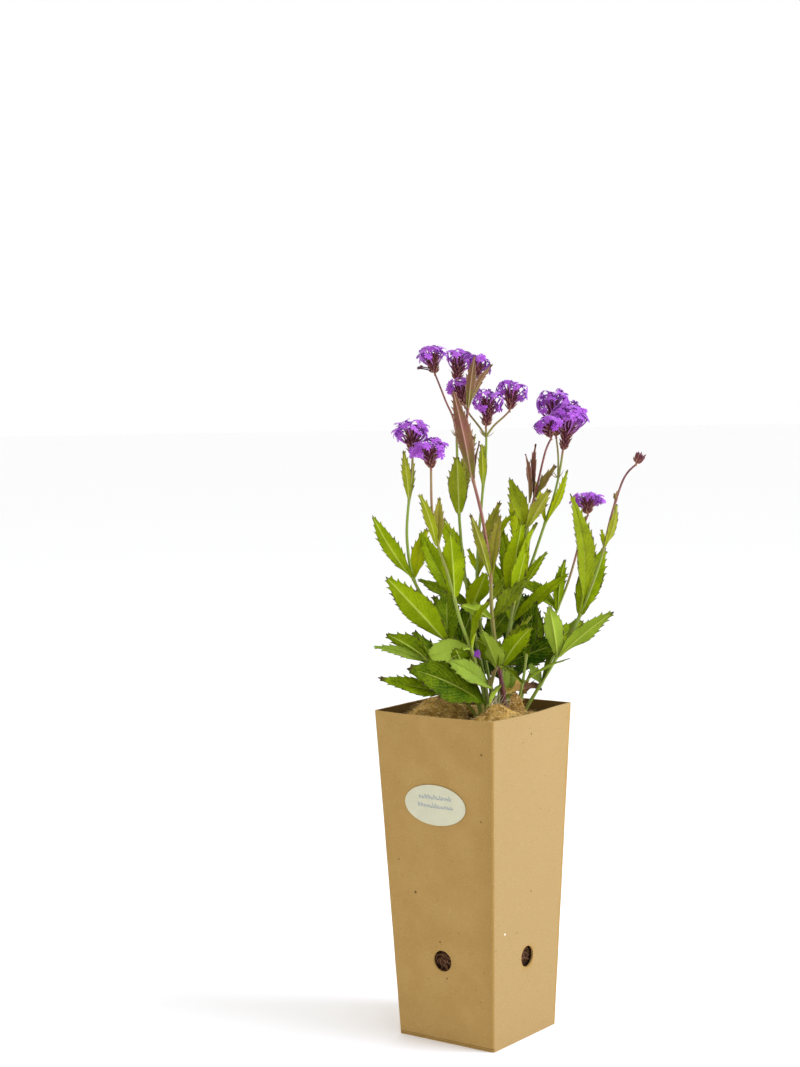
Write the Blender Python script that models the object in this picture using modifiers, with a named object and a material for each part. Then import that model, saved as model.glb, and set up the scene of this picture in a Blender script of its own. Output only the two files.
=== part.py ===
# Verbena in a square card pot. Metres, +Z up, origin at the centre of the pot's underside.
# The pot's label side faces -Y. Points and lengths in the growth plan are in millimetres.

import math
import random

import bmesh
import bpy
from mathutils import Matrix, Vector

MM = 0.001
TOUCH_GAP = 0.0003

# Pot: outer widths, board thickness, corner radius, drain holes
POT_TOP = 0.090
POT_BASE = 0.0716
POT_HEIGHT = 0.208
BOARD = 0.0015
POT_CORNER = 0.0025
DRAIN_HEIGHT = 0.0527
DRAIN_RADIUS = 0.0067
DRAIN_SIDES = 12

# Oval label on the -Y side
LABEL_HEIGHT = 0.152
LABEL_LENGTH = 0.0457
LABEL_WIDTH = 0.0256
LABEL_THICKNESS = 0.0004
LABEL_STEPS = 5

# Root ball, and the felt that lies on it with a slit for the stems
FELT_LEVEL = 0.2000
FELT_THICKNESS = 0.0030
FELT_CELLS = 8
WALL_GAP = 0.0006
FELT_WALL_GAP = 0.0012
SLIT_CENTRE = (0.0140, 0.0095)
SLIT_HALF_LENGTH = 0.0205
SLIT_HALF_WIDTH = 0.0160
SLIT_TURN = math.radians(70)
SLIT_SIDES = 16
CUT_DEPTH = 0.050

# Stems: how deep their feet stand, the spacing of points along them and along side stalks
STEM_FOOT_DEPTH = 0.0110
STEM_STEP = 0.022
STALK_STEP = 0.008
FOOT_HOLE_GAP = 0.0006
FOOT_HOLE_SIDES = 6

# Humps in the felt: centre x, centre y, height, spread
FELT_HUMPS = [
    (-0.024, -0.014, 0.0060, 0.012),
    (0.029, -0.014, 0.0055, 0.011),
    (0.024, -0.010, 0.0035, 0.005),
    (-0.012, 0.028, 0.0030, 0.012),
    (0.034, 0.034, 0.0020, 0.010),
]

# Blades
BLADE_THICKNESS = 0.0007
BLADE_FOLD = (12, 24)
BLADE_ARCH = (4, 28)
TOOTH_DEPTH = 0.11
WIDEST_AT = 0.50
BARE_SHARE = 0.24
LAST_TOOTH_SHARE = 0.93
TOOTH_TIP_SHARE = 0.80
TEETH = ((0.0175, 5), (0.0105, 4), (0.0035, 3), (0, 2))
ROOT_OFFSET = 0.45
ROOT_STEP = 0.0006

# Flower heads
HEAD_GAP = 0.0008
CALYX_FOOT_RADIUS = 0.0009
CALYX_RADIUS = 0.0026
CALYX_SIDES = 5
CALYX_ROW = 0.0034
BRACT_LENGTH = 0.0032
BRACT_LEAN = math.radians(42)
CROWN_CORE_RADIUS = 0.0027
FLORET_RADIUS = 0.0038
FLORET_NOTCH = 0.45
FLORET_CUP = 0.0004
LOWEST_FLORET = -0.20

# Growth plan. path: a stem's centre line above the soil. radii: at foot and tip. leaves: in pairs,
# each pair a height and two leaves of (compass angle, rise, length, width, roll), in degrees and
# millimetres, the compass angle counted from +X towards +Y. stalks: side stalks to flower heads.
STEMS = {
    "leafy_stem_1": dict(
        path=[(8, -1, 203), (5, -6, 219), (1, -13, 234), (-3, -20, 247), (-10, -30, 271), (-17, -39, 291),
              (-19, -42, 313), (-18, -43, 329), (-14, -43, 356), (-13, -43, 368)],
        radii=(1.5, 0.8),
        leaves=[(341, (-79, 73, 31, 6, 25), (99, 73, 24, 5, 25)),
                (292, (-121, 57, 48, 10, 55), (106, 63, 34, 9, 20)),
                (251, (-113, 45, 61, 19, 55), (125, 49, 40, 17, 5)),
                (231, (-70, 38, 30, 12, 30))],
    ),
    "leafy_stem_2": dict(
        path=[(13, -4, 203), (13, -8, 220), (12, -13, 235), (11, -18, 248), (9, -26, 265), (8, -31, 281),
              (7, -37, 298), (4, -43, 316), (3, -46, 335), (5, -49, 360)],
        radii=(1.4, 0.8),
        leaves=[(316, (-105, 68, 35, 7, 40), (113, 74, 31, 7, 10)),
                (280, (-63, 71, 44, 15, 8), (177, 58, 48, 11, -35)),
                (248, (-143, 2, 32, 14, -60), (27, 70, 33, 12, 30)),
                (228, (-102, 15, 36, 13, -60), (-25, 40, 32, 13, -20))],
    ),
    "leafy_stem_3": dict(
        path=[(6, 9, 203), (3, 9, 221), (-2, 9, 243), (-8, 9, 271), (-13, 9, 300), (-15, 10, 316),
              (-16, 10, 330), (-18, 12, 357), (-19, 13, 382), (-20, 15, 413)],
        radii=(1.4, 0.8),
        leaves=[(330, (-59, 72, 39, 13, 5), (87, 70, 53, 9, 30)),
                (296, (149, 47, 39, 11, -20), (-60, 66, 32, 10, 0)),
                (268, (165, 31, 46, 14, -30), (-20, 55, 30, 11, -20)),
                (224, (-112, 36, 34, 13, 60), (207, 50, 39, 15, -40))],
        stalks=[[(-19, 13, 378), (-23, 15, 391), (-28, 16, 398), (-33, 16, 409), (-38, 17, 418)]],
    ),
    "leafy_stem_4": dict(
        path=[(20, 8, 203), (19, 6, 216), (18, 3, 232), (16, 0, 257), (16, -2, 276), (16, -2, 290),
              (15, -4, 309), (12, -6, 332), (8, -9, 353), (6, -11, 370), (5, -11, 386), (6, -10, 396),
              (6, -8, 413)],
        radii=(1.7, 0.8),
        leaves=[(396, (-35, 68, 35, 6, -20), (20, 60, 32, 5, -40)),
                (352, (-116, 77, 58, 11, 50), (84, 62, 30, 8, 30)),
                (291, (-109, 67, 44, 10, 45), (67, 79, 40, 9, 40)),
                (264, (-112, 24, 26, 9, 60), (57, 47, 34, 12, 40)),
                (233, (-95, 63, 29, 13, 35), (-12, 43, 30, 11, -40)),
                (217, (62, 1, 31, 7, -30))],
    ),
    "leafy_stem_5": dict(
        path=[(8, 16, 203), (3, 15, 220), (-1, 14, 242), (-4, 13, 271), (-4, 12, 291), (-1, 10, 316),
              (1, 10, 331), (3, 10, 348), (5, 11, 370), (5, 11, 384)],
        radii=(1.4, 0.8),
        leaves=[(347, (-63, 79, 27, 5, 10), (73, 71, 26, 5, 35)),
                (292, (158, 56, 46, 10, -40), (70, 68, 49, 10, 40)),
                (264, (-180, 62, 38, 13, 50), (60, 55, 38, 13, 20)),
                (242, (153, 22, 44, 15, -30), (87, 36, 48, 14, 30))],
        stalks=[[(5, 11, 378), (0, 9, 386), (-4, 6, 392), (-6, 4, 397)],
                [(5, 11, 378), (8, 15, 385), (11, 20, 389), (15, 23, 394)]],
    ),
    "leafy_stem_6": dict(
        path=[(14, 21, 203), (12, 21, 217), (9, 23, 239), (9, 28, 253), (11, 34, 269), (13, 41, 284),
              (16, 47, 299), (20, 55, 321), (23, 62, 339), (25, 66, 355), (26, 68, 367)],
        radii=(1.5, 0.8),
        leaves=[(322, (21, 67, 37, 6, -50), (-174, 72, 32, 5, -40)),
                (284, (4, 47, 29, 10, -45), (166, 79, 68, 12, -30)),
                (260, (40, 39, 47, 10, 55), (175, 67, 40, 14, -40)),
                (232, (20, 20, 38, 18, -60))],
        stalks=[[(24, 65, 350), (22, 69, 363), (18, 73, 376)]],
    ),
    "leafy_stem_7": dict(
        path=[(14, 4, 203), (15, 8, 218), (16, 12, 240), (20, 17, 272), (23, 21, 297), (26, 24, 320),
              (28, 28, 335), (30, 32, 349), (33, 37, 370), (35, 40, 376)],
        radii=(1.4, 0.7),
        leaves=[(345, (-99, 72, 23, 5, 35), (60, 65, 27, 6, 40)),
                (320, (13, 57, 29, 10, -50), (169, 66, 34, 11, -30)),
                (272, (-26, 78, 54, 16, -20), (153, 67, 40, 12, -20)),
                (235, (14, 58, 36, 13, -40), (-106, 40, 27, 11, 60))],
    ),
    "leafy_stem_8": dict(
        path=[(18, 24, 203), (18, 30, 215), (20, 37, 227), (23, 42, 240), (27, 47, 253), (30, 53, 266),
              (34, 60, 283), (37, 65, 300), (40, 70, 319), (42, 72, 326)],
        radii=(1.3, 0.7),
        leaves=[(266, (-4, 79, 34, 8, -40), (158, 55, 34, 10, -25)),
                (237, (76, 24, 45, 15, 40), (149, 66, 42, 14, -15))],
    ),
    "leafy_stem_9": dict(
        path=[(26, 17, 203), (31, 21, 213), (36, 23, 222), (42, 25, 232), (47, 28, 242), (53, 31, 252),
              (59, 34, 266), (65, 38, 284), (70, 42, 302), (74, 45, 323), (77, 48, 337), (82, 52, 354),
              (86, 55, 359)],
        radii=(1.4, 0.7),
        leaves=[(337, (3, 57, 9, 3, -40), (-174, 54, 9, 3, -40)),
                (308, (8, 73, 29, 6, -40), (140, 70, 19, 5, -10)),
                (266, (-104, 85, 78, 18, 40), (67, 64, 46, 11, 40)),
                (240, (18, 36, 46, 15, -60), (-77, 65, 37, 13, 20)),
                (222, (16, 34, 28, 9, -60), (42, 60, 30, 12, 0))],
    ),
    "basal_shoot_1": dict(
        path=[(8, -6, 201), (6, -12, 209), (4, -21, 218), (-1, -27, 229), (-6, -32, 237), (-10, -35, 243)],
        radii=(1.3, 1.0),
        leaves=[(240, (-108, 29, 33, 14, 60), (-140, 19, 37, 9, -60)),
                (219, (-131, 14, 56, 12, -60), (-98, 30, 59, 20, 50))],
    ),
    "basal_shoot_2": dict(
        path=[(2, 5, 203), (-4, 6, 215), (-11, 7, 230), (-17, 7, 243)],
        radii=(1.2, 0.9),
        leaves=[(241, (165, 55, 42, 14, -20), (-60, 71, 34, 12, 0)),
                (224, (-165, 25, 40, 14, -30), (100, 30, 34, 12, 10))],
    ),
    "basal_shoot_3": dict(
        path=[(23, 11, 203), (29, 9, 215), (34, 7, 230), (36, 7, 243)],
        radii=(1.2, 0.9),
        leaves=[(241, (-30, 62, 38, 13, -10)),
                (224, (10, 28, 36, 14, -50), (-116, 40, 28, 11, 10))],
    ),
    "basal_shoot_4": dict(
        path=[(10, 25, 203), (6, 32, 215), (3, 38, 230), (1, 42, 243)],
        radii=(1.2, 0.9),
        leaves=[(240, (110, 50, 45, 15, 0), (60, 66, 34, 12, 10)),
                (221, (175, 26, 46, 15, -20), (75, 24, 40, 14, 10))],
    ),
}

# Flower heads: foot, top, width across the crown
HEADS = {
    "head_1": ((-13, -43, 368), (-12, -45, 391), 24),
    "head_2": ((5, -49, 360), (5, -52, 379), 25),
    "head_3": ((-38, 17, 418), (-41, 16, 437), 20),
    "head_4": ((-20, 15, 413), (-18, 17, 434), 19),
    "head_5": ((6, -8, 413), (10, 1, 429), 18),
    "head_6": ((-6, 4, 397), (-11, 2, 416), 18),
    "head_7": ((5, 11, 384), (8, 11, 409), 21),
    "head_8": ((15, 23, 394), (16, 27, 413), 20),
    "head_9": ((18, 73, 376), (14, 75, 407), 22),
    "head_10": ((26, 68, 367), (33, 70, 398), 22),
    "head_11": ((35, 40, 376), (33, 36, 390), 16),
    "head_12": ((42, 72, 326), (41, 73, 341), 23),
}
BUD = ((86, 55, 359), (89, 58, 368))


def add_material(name, color, roughness):
    material = bpy.data.materials.new(name)
    material.use_nodes = True
    shader = material.node_tree.nodes["Principled BSDF"]
    shader.inputs["Base Color"].default_value = (*color, 1.0)
    shader.inputs["Roughness"].default_value = roughness
    shader.inputs["Metallic"].default_value = 0.0
    return material


def add_collection(name):
    collection = bpy.data.collections.new(name)
    bpy.context.scene.collection.children.link(collection)
    return collection


def add_object(name, bm, collection, material=None):
    mesh = bpy.data.meshes.new(name)
    bm.to_mesh(mesh)
    bm.free()
    thing = bpy.data.objects.new(name, mesh)
    collection.objects.link(thing)
    if material:
        mesh.materials.append(material)
    return thing


def settle(thing):
    """Apply the modifiers of an object, or turn a curve into a mesh whose caps are welded."""
    graph = bpy.context.evaluated_depsgraph_get()
    mesh = bpy.data.meshes.new_from_object(thing.evaluated_get(graph))
    if thing.type == "MESH":
        thing.modifiers.clear()
        thing.data = mesh
        return thing
    bm = bmesh.new()
    bm.from_mesh(mesh)
    bmesh.ops.remove_doubles(bm, verts=bm.verts, dist=0.00001)
    solid = add_object(thing.name + "_mesh", bm, thing.users_collection[0])
    solid.matrix_world = thing.matrix_world.copy()
    bpy.data.objects.remove(thing)
    return solid


def join(name, pieces, material):
    """One closed body from pieces that are sunk into each other, the first of them kept."""
    body = pieces[0]
    body.name = name
    if len(pieces) > 1:
        rest = add_collection(name + "_rest")
        for piece in pieces[1:]:
            for home in piece.users_collection:
                home.objects.unlink(piece)
            rest.objects.link(piece)
        union = body.modifiers.new("union", "BOOLEAN")
        union.operation = "UNION"
        union.operand_type = "COLLECTION"
        union.collection = rest
        union.solver = "EXACT"
        settle(body)
        for piece in list(rest.objects):
            bpy.data.objects.remove(piece)
        bpy.data.collections.remove(rest)
    body.data.materials.clear()
    body.data.materials.append(material)
    body.data.shade_smooth()
    body.data.set_sharp_from_angle(angle=math.radians(40))
    return body


def cut(body, cutters):
    """Take the cutters' shapes out of a body."""
    difference = body.modifiers.new("cut", "BOOLEAN")
    difference.operation = "DIFFERENCE"
    difference.operand_type = "COLLECTION"
    difference.collection = cutters
    settle(body)


def add_cutter(bm, name, cutters):
    cutter = add_object(name, bm, cutters)
    cutter.hide_render = True
    cutter.display_type = "WIRE"
    return cutter


def smooth_path(points, spacing):
    """Points along a smooth curve through the given points, about one spacing apart."""
    points = [Vector(p) * MM for p in points]
    ends = [2 * points[0] - points[1]] + points + [2 * points[-1] - points[-2]]
    line = []
    for a, b, c, d in zip(ends, ends[1:], ends[2:], ends[3:]):
        steps = max(1, round((c - b).length / spacing))
        for i in range(steps):
            t = i / steps
            line.append(0.5 * (2 * b + (c - a) * t + (2 * a - 5 * b + 4 * c - d) * t * t
                               + (3 * b - a - 3 * c + d) * t ** 3))
    line.append(points[-1])
    return line


def point_at_height(line, height):
    for a, b in zip(line, line[1:]):
        if a.z <= height <= b.z:
            return a.lerp(b, (height - a.z) / (b.z - a.z))
    return line[-1]


def tube(name, line, radius_foot, radius_tip, collection):
    """A square stem: a bevelled curve with filled caps."""
    curve = bpy.data.curves.new(name, "CURVE")
    curve.dimensions = "3D"
    curve.bevel_depth = 1.0
    curve.bevel_resolution = 0
    curve.use_fill_caps = True
    spline = curve.splines.new("POLY")
    spline.points.add(len(line) - 1)
    for i, point in enumerate(line):
        share = i / (len(line) - 1)
        spline.points[i].co = (*point, 1.0)
        spline.points[i].radius = radius_foot + (radius_tip - radius_foot) * share
    thing = bpy.data.objects.new(name, curve)
    collection.objects.link(thing)
    return settle(thing)


def half_width(share):
    """Half the width of a blade at a share of its length, as a share of half its full width."""
    if share < WIDEST_AT:
        return math.sin((0.2 + 0.8 * share / WIDEST_AT) * math.pi / 2)
    return 1 - ((share - WIDEST_AT) / (1 - WIDEST_AT)) ** 1.7


def blade(name, root, stem_radius, leaf, collection, seed):
    """A toothed blade, folded along its midrib and arched, from just inside its stem."""
    draw = random.Random(seed)
    arch = math.radians(draw.uniform(*BLADE_ARCH))
    fold = math.radians(draw.uniform(*BLADE_FOLD))
    compass, rise, length, width, roll = leaf
    compass, rise, roll = math.radians(compass), math.radians(rise), math.radians(roll)
    length, width = length * MM, width * MM
    outward = Vector((math.cos(compass), math.sin(compass), 0))
    across = Vector((-math.sin(compass), math.cos(compass), 0))
    root = root + outward * stem_radius * ROOT_OFFSET + Vector((0, 0, draw.uniform(-ROOT_STEP, ROOT_STEP)))
    start = rise + arch / 2

    def frame(share):
        slope = start - arch * share
        middle = root + length / arch * (outward * (math.sin(start) - math.sin(slope))
                                         + Vector((0, 0, 1)) * (math.cos(slope) - math.cos(start)))
        face = outward * -math.sin(slope) + Vector((0, 0, 1)) * math.cos(slope)
        turn = roll * min(1, 0.3 + 1.6 * share)
        side = across * math.cos(turn) + face * math.sin(turn)
        up = face * math.cos(turn) - across * math.sin(turn)
        return middle, side * math.cos(fold), up * math.sin(fold)

    teeth = next(count for least_width, count in TEETH if width > least_width)
    stations = [0.0] + [BARE_SHARE + (LAST_TOOTH_SHARE - BARE_SHARE) * i / teeth for i in range(teeth + 1)]
    bm = bmesh.new()
    middles, edges, tips = [], [], []
    for share in stations:
        middle, side, up = frame(share)
        reach = width / 2 * half_width(share) * (1 - TOOTH_DEPTH) if share else stem_radius * 0.6
        middles.append(bm.verts.new(middle))
        edges.append([bm.verts.new(middle + up * reach + side * reach * sign) for sign in (-1, 1)])
    for a, b in zip(stations[1:], stations[2:]):
        middle, side, up = frame(a + TOOTH_TIP_SHARE * (b - a))
        reach = width / 2 * half_width(a + 0.5 * (b - a)) * (1 + TOOTH_DEPTH)
        tips.append([bm.verts.new(middle + up * reach + side * reach * sign) for sign in (-1, 1)])
    point = bm.verts.new(frame(1.0)[0])

    def face(side, *corners):
        bm.faces.new(corners if side else corners[::-1])

    for side in (0, 1):
        for i in range(len(stations) - 1):
            here, there = edges[i][side], edges[i + 1][side]
            face(side, middles[i], here, there)
            face(side, middles[i], there, middles[i + 1])
            if i:
                face(side, here, tips[i - 1][side], there)
        face(side, middles[-1], edges[-1][side], point)
    thing = add_object(name, bm, collection)
    shell = thing.modifiers.new("thickness", "SOLIDIFY")
    shell.thickness = BLADE_THICKNESS
    shell.offset = 0
    return settle(thing)


def leafy_stem(name, plan, collection, material, seed):
    foot_radius, tip_radius = (r * MM for r in plan["radii"])
    x, y, z = plan["path"][0]
    foot = (FELT_LEVEL - FELT_THICKNESS - STEM_FOOT_DEPTH) / MM
    line = smooth_path([(x, y, foot), (x, y, z - 6)] + plan["path"], STEM_STEP)
    pieces = [tube(name, line, foot_radius, tip_radius, collection)]
    for i, stalk in enumerate(plan.get("stalks", [])):
        pieces.append(tube(f"{name}_stalk_{i}", smooth_path(stalk, STALK_STEP), tip_radius, tip_radius * 0.8, collection))
    for height, *pair in plan["leaves"]:
        root = point_at_height(line, height * MM)
        for leaf in pair:
            seed += 1
            pieces.append(blade(f"{name}_blade_{seed}", root, tip_radius, leaf, collection, seed))
    return join(name, pieces, material)


def head_frame(foot, top):
    """Where a head stands, its length, and the turn that takes +Z to its axis."""
    foot, top = Vector(foot) * MM, Vector(top) * MM
    axis = (top - foot).normalized()
    return foot + axis * HEAD_GAP, (top - foot).length, axis.to_track_quat("Z", "Y").to_matrix().to_4x4()


def calyx_spike(name, foot, turn, length, collection, material, seed):
    """A dark spike of pointed calyces, drawn out of the faces of a turned core."""
    draw = random.Random(seed)
    bm = bmesh.new()
    bmesh.ops.create_cone(bm, cap_ends=True, segments=CALYX_SIDES, radius1=1, radius2=1, depth=1)
    walls = [f for f in bm.faces if abs(f.normal.z) < 0.5]
    upright = list({e for f in walls for e in f.edges if abs(e.verts[0].co.z - e.verts[1].co.z) > 0.5})
    rows = max(3, round(length / CALYX_ROW))
    bmesh.ops.subdivide_edges(bm, edges=upright, cuts=rows - 1, use_grid_fill=True)
    for vert in bm.verts:
        share = vert.co.z + 0.5
        radius = CALYX_FOOT_RADIUS + (CALYX_RADIUS - CALYX_FOOT_RADIUS) * math.sin(math.pi * 0.58 * share ** 0.8)
        twist = Matrix.Rotation(share * rows * math.pi / CALYX_SIDES, 2)
        vert.co.xy = twist @ (vert.co.xy.normalized() * radius)
        vert.co.z = share * length
    walls = [f for f in bm.faces if abs(f.normal.z) < 0.9]
    tips = bmesh.ops.poke(bm, faces=walls)["verts"]
    for tip in tips:
        outward = Vector((tip.co.x, tip.co.y, 0)).normalized()
        reach = BRACT_LENGTH * draw.uniform(0.8, 1.15) * (1 - 0.35 * tip.co.z / length)
        tip.co += outward * reach * math.sin(BRACT_LEAN)
        tip.co.z = min(tip.co.z + reach * math.cos(BRACT_LEAN), length - (tip.co.xy.length - CALYX_RADIUS * 0.8))
    spike = add_object(name, bm, collection, material)
    spike.matrix_world = Matrix.Translation(foot) @ turn
    return spike


def crown(name, centre, turn, radius, rise, collection, material, seed):
    """Open five-lobed florets, each drawn out of one face of a small twelve-sided core."""
    draw = random.Random(seed)
    net = bmesh.new()
    bmesh.ops.create_icosphere(net, subdivisions=1, radius=1)
    corners = [f.calc_center_median().normalized() * CROWN_CORE_RADIUS for f in net.faces]
    net.free()
    bm = bmesh.new()
    for corner in corners:
        bm.verts.new(corner)
    bmesh.ops.convex_hull(bm, input=bm.verts)
    bmesh.ops.dissolve_limit(bm, angle_limit=math.radians(5), verts=bm.verts, edges=bm.edges)
    bmesh.ops.rotate(bm, verts=bm.verts, matrix=Matrix.Rotation(draw.uniform(0, 1.2), 3, "Z"))
    sides = [f for f in bm.faces if f.normal.z > -0.9]
    mouths = bmesh.ops.extrude_discrete_faces(bm, faces=sides)["faces"]
    for mouth in mouths:
        direction = mouth.normal.copy()
        direction.z = max(direction.z * 1.15, LOWEST_FLORET)
        direction = (direction + Vector([draw.uniform(-0.07, 0.07) for _ in range(3)])).normalized()
        limb = Vector((direction.x * radius, direction.y * radius, direction.z * rise))
        size = FLORET_RADIUS * draw.uniform(0.92, 1.08)
        lobes = list(mouth.verts)
        frame = direction.to_track_quat("Z", "Y").to_matrix()
        first = frame.inverted() @ (lobes[0].co - mouth.calc_center_median())
        for i, lobe in enumerate(lobes):
            angle = math.atan2(first.y, first.x) + i * math.radians(72)
            lobe.co = limb + frame @ Vector((math.cos(angle), math.sin(angle), 0)) * size
        rim = list(mouth.edges)
        notches = bmesh.ops.subdivide_edges(bm, edges=rim, cuts=1)["geom_inner"]
        for notch in notches:
            if isinstance(notch, bmesh.types.BMVert):
                notch.co = limb + (notch.co - limb) * FLORET_NOTCH - direction * FLORET_CUP
    bmesh.ops.poke(bm, faces=mouths, offset=-FLORET_CUP)
    bmesh.ops.triangulate(bm, faces=bm.faces)
    bmesh.ops.recalc_face_normals(bm, faces=bm.faces)
    florets = add_object(name, bm, collection, material)
    florets.matrix_world = Matrix.Translation(centre) @ turn
    return florets


def flower_head(name, plan, collection, calyx_material, floret_material, seed):
    foot, length, turn = head_frame(plan[0], plan[1])
    radius = plan[2] * MM / 2 - FLORET_RADIUS * 0.5
    rise = min(radius, length * 0.40)
    centre_height = length - rise
    spike_length = centre_height - CROWN_CORE_RADIUS - TOUCH_GAP
    calyx_spike(name + "_calyx", foot, turn, spike_length, collection, calyx_material, seed)
    centre = foot + turn.to_3x3() @ Vector((0, 0, centre_height))
    crown(name + "_florets", centre, turn, radius, rise, collection, floret_material, seed + 100)


def pot(collection, cutters, material):
    bm = bmesh.new()
    bmesh.ops.create_cone(bm, cap_ends=True, segments=4, radius1=POT_BASE / 2 * math.sqrt(2),
                          radius2=POT_TOP / 2 * math.sqrt(2), depth=POT_HEIGHT,
                          matrix=Matrix.Translation((0, 0, POT_HEIGHT / 2)) @ Matrix.Rotation(math.pi / 4, 4, "Z"))
    mouth = [f for f in bm.faces if f.normal.z > 0.9]
    bmesh.ops.delete(bm, geom=mouth, context="FACES_ONLY")
    upright = [e for e in bm.edges if abs(e.verts[0].co.z - e.verts[1].co.z) > POT_HEIGHT / 2]
    bmesh.ops.bevel(bm, geom=upright, offset=POT_CORNER, segments=3, profile=0.5, affect="EDGES")
    body = add_object("pot", bm, collection, material)
    shell = body.modifiers.new("board", "SOLIDIFY")
    shell.thickness = BOARD
    shell.offset = -1
    shell.use_even_offset = True
    settle(body)
    for turn in (0, math.pi / 2):
        bm = bmesh.new()
        bmesh.ops.create_cone(bm, cap_ends=True, segments=DRAIN_SIDES, radius1=DRAIN_RADIUS, radius2=DRAIN_RADIUS,
                              depth=POT_TOP * 1.2,
                              matrix=Matrix.Translation((0, 0, DRAIN_HEIGHT)) @ Matrix.Rotation(turn, 4, "Z")
                              @ Matrix.Rotation(math.pi / 2, 4, "X"))
        add_cutter(bm, "drain_cutter", cutters)
    cut(body, cutters)
    return body


def wall_inside(height, gap):
    """Half the clear width between the pot's walls at a height, less a gap."""
    outer = (POT_BASE + (POT_TOP - POT_BASE) * height / POT_HEIGHT) / 2
    return outer - BOARD - gap


def felt_level(x, y):
    level = FELT_LEVEL
    for hump_x, hump_y, height, spread in FELT_HUMPS:
        level += height * math.exp(-((x - hump_x) ** 2 + (y - hump_y) ** 2) / (2 * spread ** 2))
    return level


def ground_grid(half, drop):
    """A square net of faces at the felt's level, less a drop."""
    bm = bmesh.new()
    bmesh.ops.create_grid(bm, x_segments=FELT_CELLS, y_segments=FELT_CELLS, size=half)
    for vert in bm.verts:
        vert.co.z = felt_level(vert.co.x, vert.co.y) - drop
    return bm


def soil(collection, cutters, material):
    top = FELT_LEVEL - FELT_THICKNESS
    base = BOARD + TOUCH_GAP
    half_top, half_base = wall_inside(top, FELT_WALL_GAP), wall_inside(base, WALL_GAP)
    bm = ground_grid(half_top, FELT_THICKNESS + TOUCH_GAP)
    rim = [e for e in bm.edges if e.is_boundary]
    skirt = bmesh.ops.extrude_edge_only(bm, edges=rim)["geom"]
    low = [g for g in skirt if isinstance(g, bmesh.types.BMVert)]
    for vert in low:
        vert.co.x *= half_base / half_top
        vert.co.y *= half_base / half_top
        vert.co.z = base
    bmesh.ops.holes_fill(bm, edges=[e for e in bm.edges if e.is_boundary])
    bmesh.ops.recalc_face_normals(bm, faces=bm.faces)
    bmesh.ops.triangulate(bm, faces=bm.faces)
    body = add_object("soil", bm, collection, material)
    for name, plan in STEMS.items():
        x, y, _ = plan["path"][0]
        radius = plan["radii"][0] * MM + FOOT_HOLE_GAP
        bm = bmesh.new()
        depth = STEM_FOOT_DEPTH + 0.020
        bmesh.ops.create_cone(bm, cap_ends=True, segments=FOOT_HOLE_SIDES, radius1=radius, radius2=radius, depth=depth,
                              matrix=Matrix.Translation((x * MM, y * MM, top - STEM_FOOT_DEPTH
                                                         - TOUCH_GAP + depth / 2)))
        add_cutter(bm, name + "_hole", cutters)
    cut(body, cutters)
    return body


def felt(collection, cutters, material):
    bm = ground_grid(wall_inside(FELT_LEVEL - FELT_THICKNESS, FELT_WALL_GAP), 0)
    under = bmesh.ops.extrude_face_region(bm, geom=bm.faces)["geom"]
    for vert in under:
        if isinstance(vert, bmesh.types.BMVert):
            vert.co.z -= FELT_THICKNESS
    bmesh.ops.recalc_face_normals(bm, faces=bm.faces)
    bmesh.ops.triangulate(bm, faces=bm.faces)
    body = add_object("mulch_felt", bm, collection, material)
    bm = bmesh.new()
    bmesh.ops.create_cone(bm, cap_ends=True, segments=SLIT_SIDES, radius1=1, radius2=1, depth=CUT_DEPTH)
    bmesh.ops.transform(bm, verts=bm.verts, matrix=Matrix.Translation((*SLIT_CENTRE, FELT_LEVEL))
                        @ Matrix.Rotation(SLIT_TURN, 4, "Z")
                        @ Matrix.Diagonal((SLIT_HALF_LENGTH, SLIT_HALF_WIDTH, 1, 1)))
    add_cutter(bm, "slit_cutter", cutters)
    cut(body, cutters)
    return body


def oval_label(collection, material):
    outline = bpy.data.curves.new("oval_label", "CURVE")
    outline.dimensions = "2D"
    outline.fill_mode = "BOTH"
    outline.extrude = LABEL_THICKNESS / 2
    outline.resolution_u = LABEL_STEPS
    spline = outline.splines.new("BEZIER")
    spline.bezier_points.add(3)
    spline.use_cyclic_u = True
    for i, point in enumerate(spline.bezier_points):
        angle = i * math.pi / 2
        place = Vector((math.cos(angle) * LABEL_LENGTH / 2, math.sin(angle) * LABEL_WIDTH / 2, 0))
        along = Vector((-math.sin(angle) * LABEL_LENGTH / 2, math.cos(angle) * LABEL_WIDTH / 2, 0)) * 0.5523
        point.co = place
        point.handle_left = place - along
        point.handle_right = place + along
    lean = math.atan2((POT_TOP - POT_BASE) / 2, POT_HEIGHT)
    wall = (POT_BASE + (POT_TOP - POT_BASE) * LABEL_HEIGHT / POT_HEIGHT) / 2
    away = Vector((0, -math.cos(lean), -math.sin(lean))) * (TOUCH_GAP + LABEL_THICKNESS / 2)
    thing = bpy.data.objects.new("oval_label_curve", outline)
    collection.objects.link(thing)
    thing.matrix_world = (Matrix.Translation(Vector((0, -wall, LABEL_HEIGHT)) + away)
                          @ Matrix.Rotation(math.pi / 2 + lean, 4, "X"))
    bpy.context.view_layer.update()
    label = settle(thing)
    label.name = "oval_label"
    label.data.materials.append(material)
    return label


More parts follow.
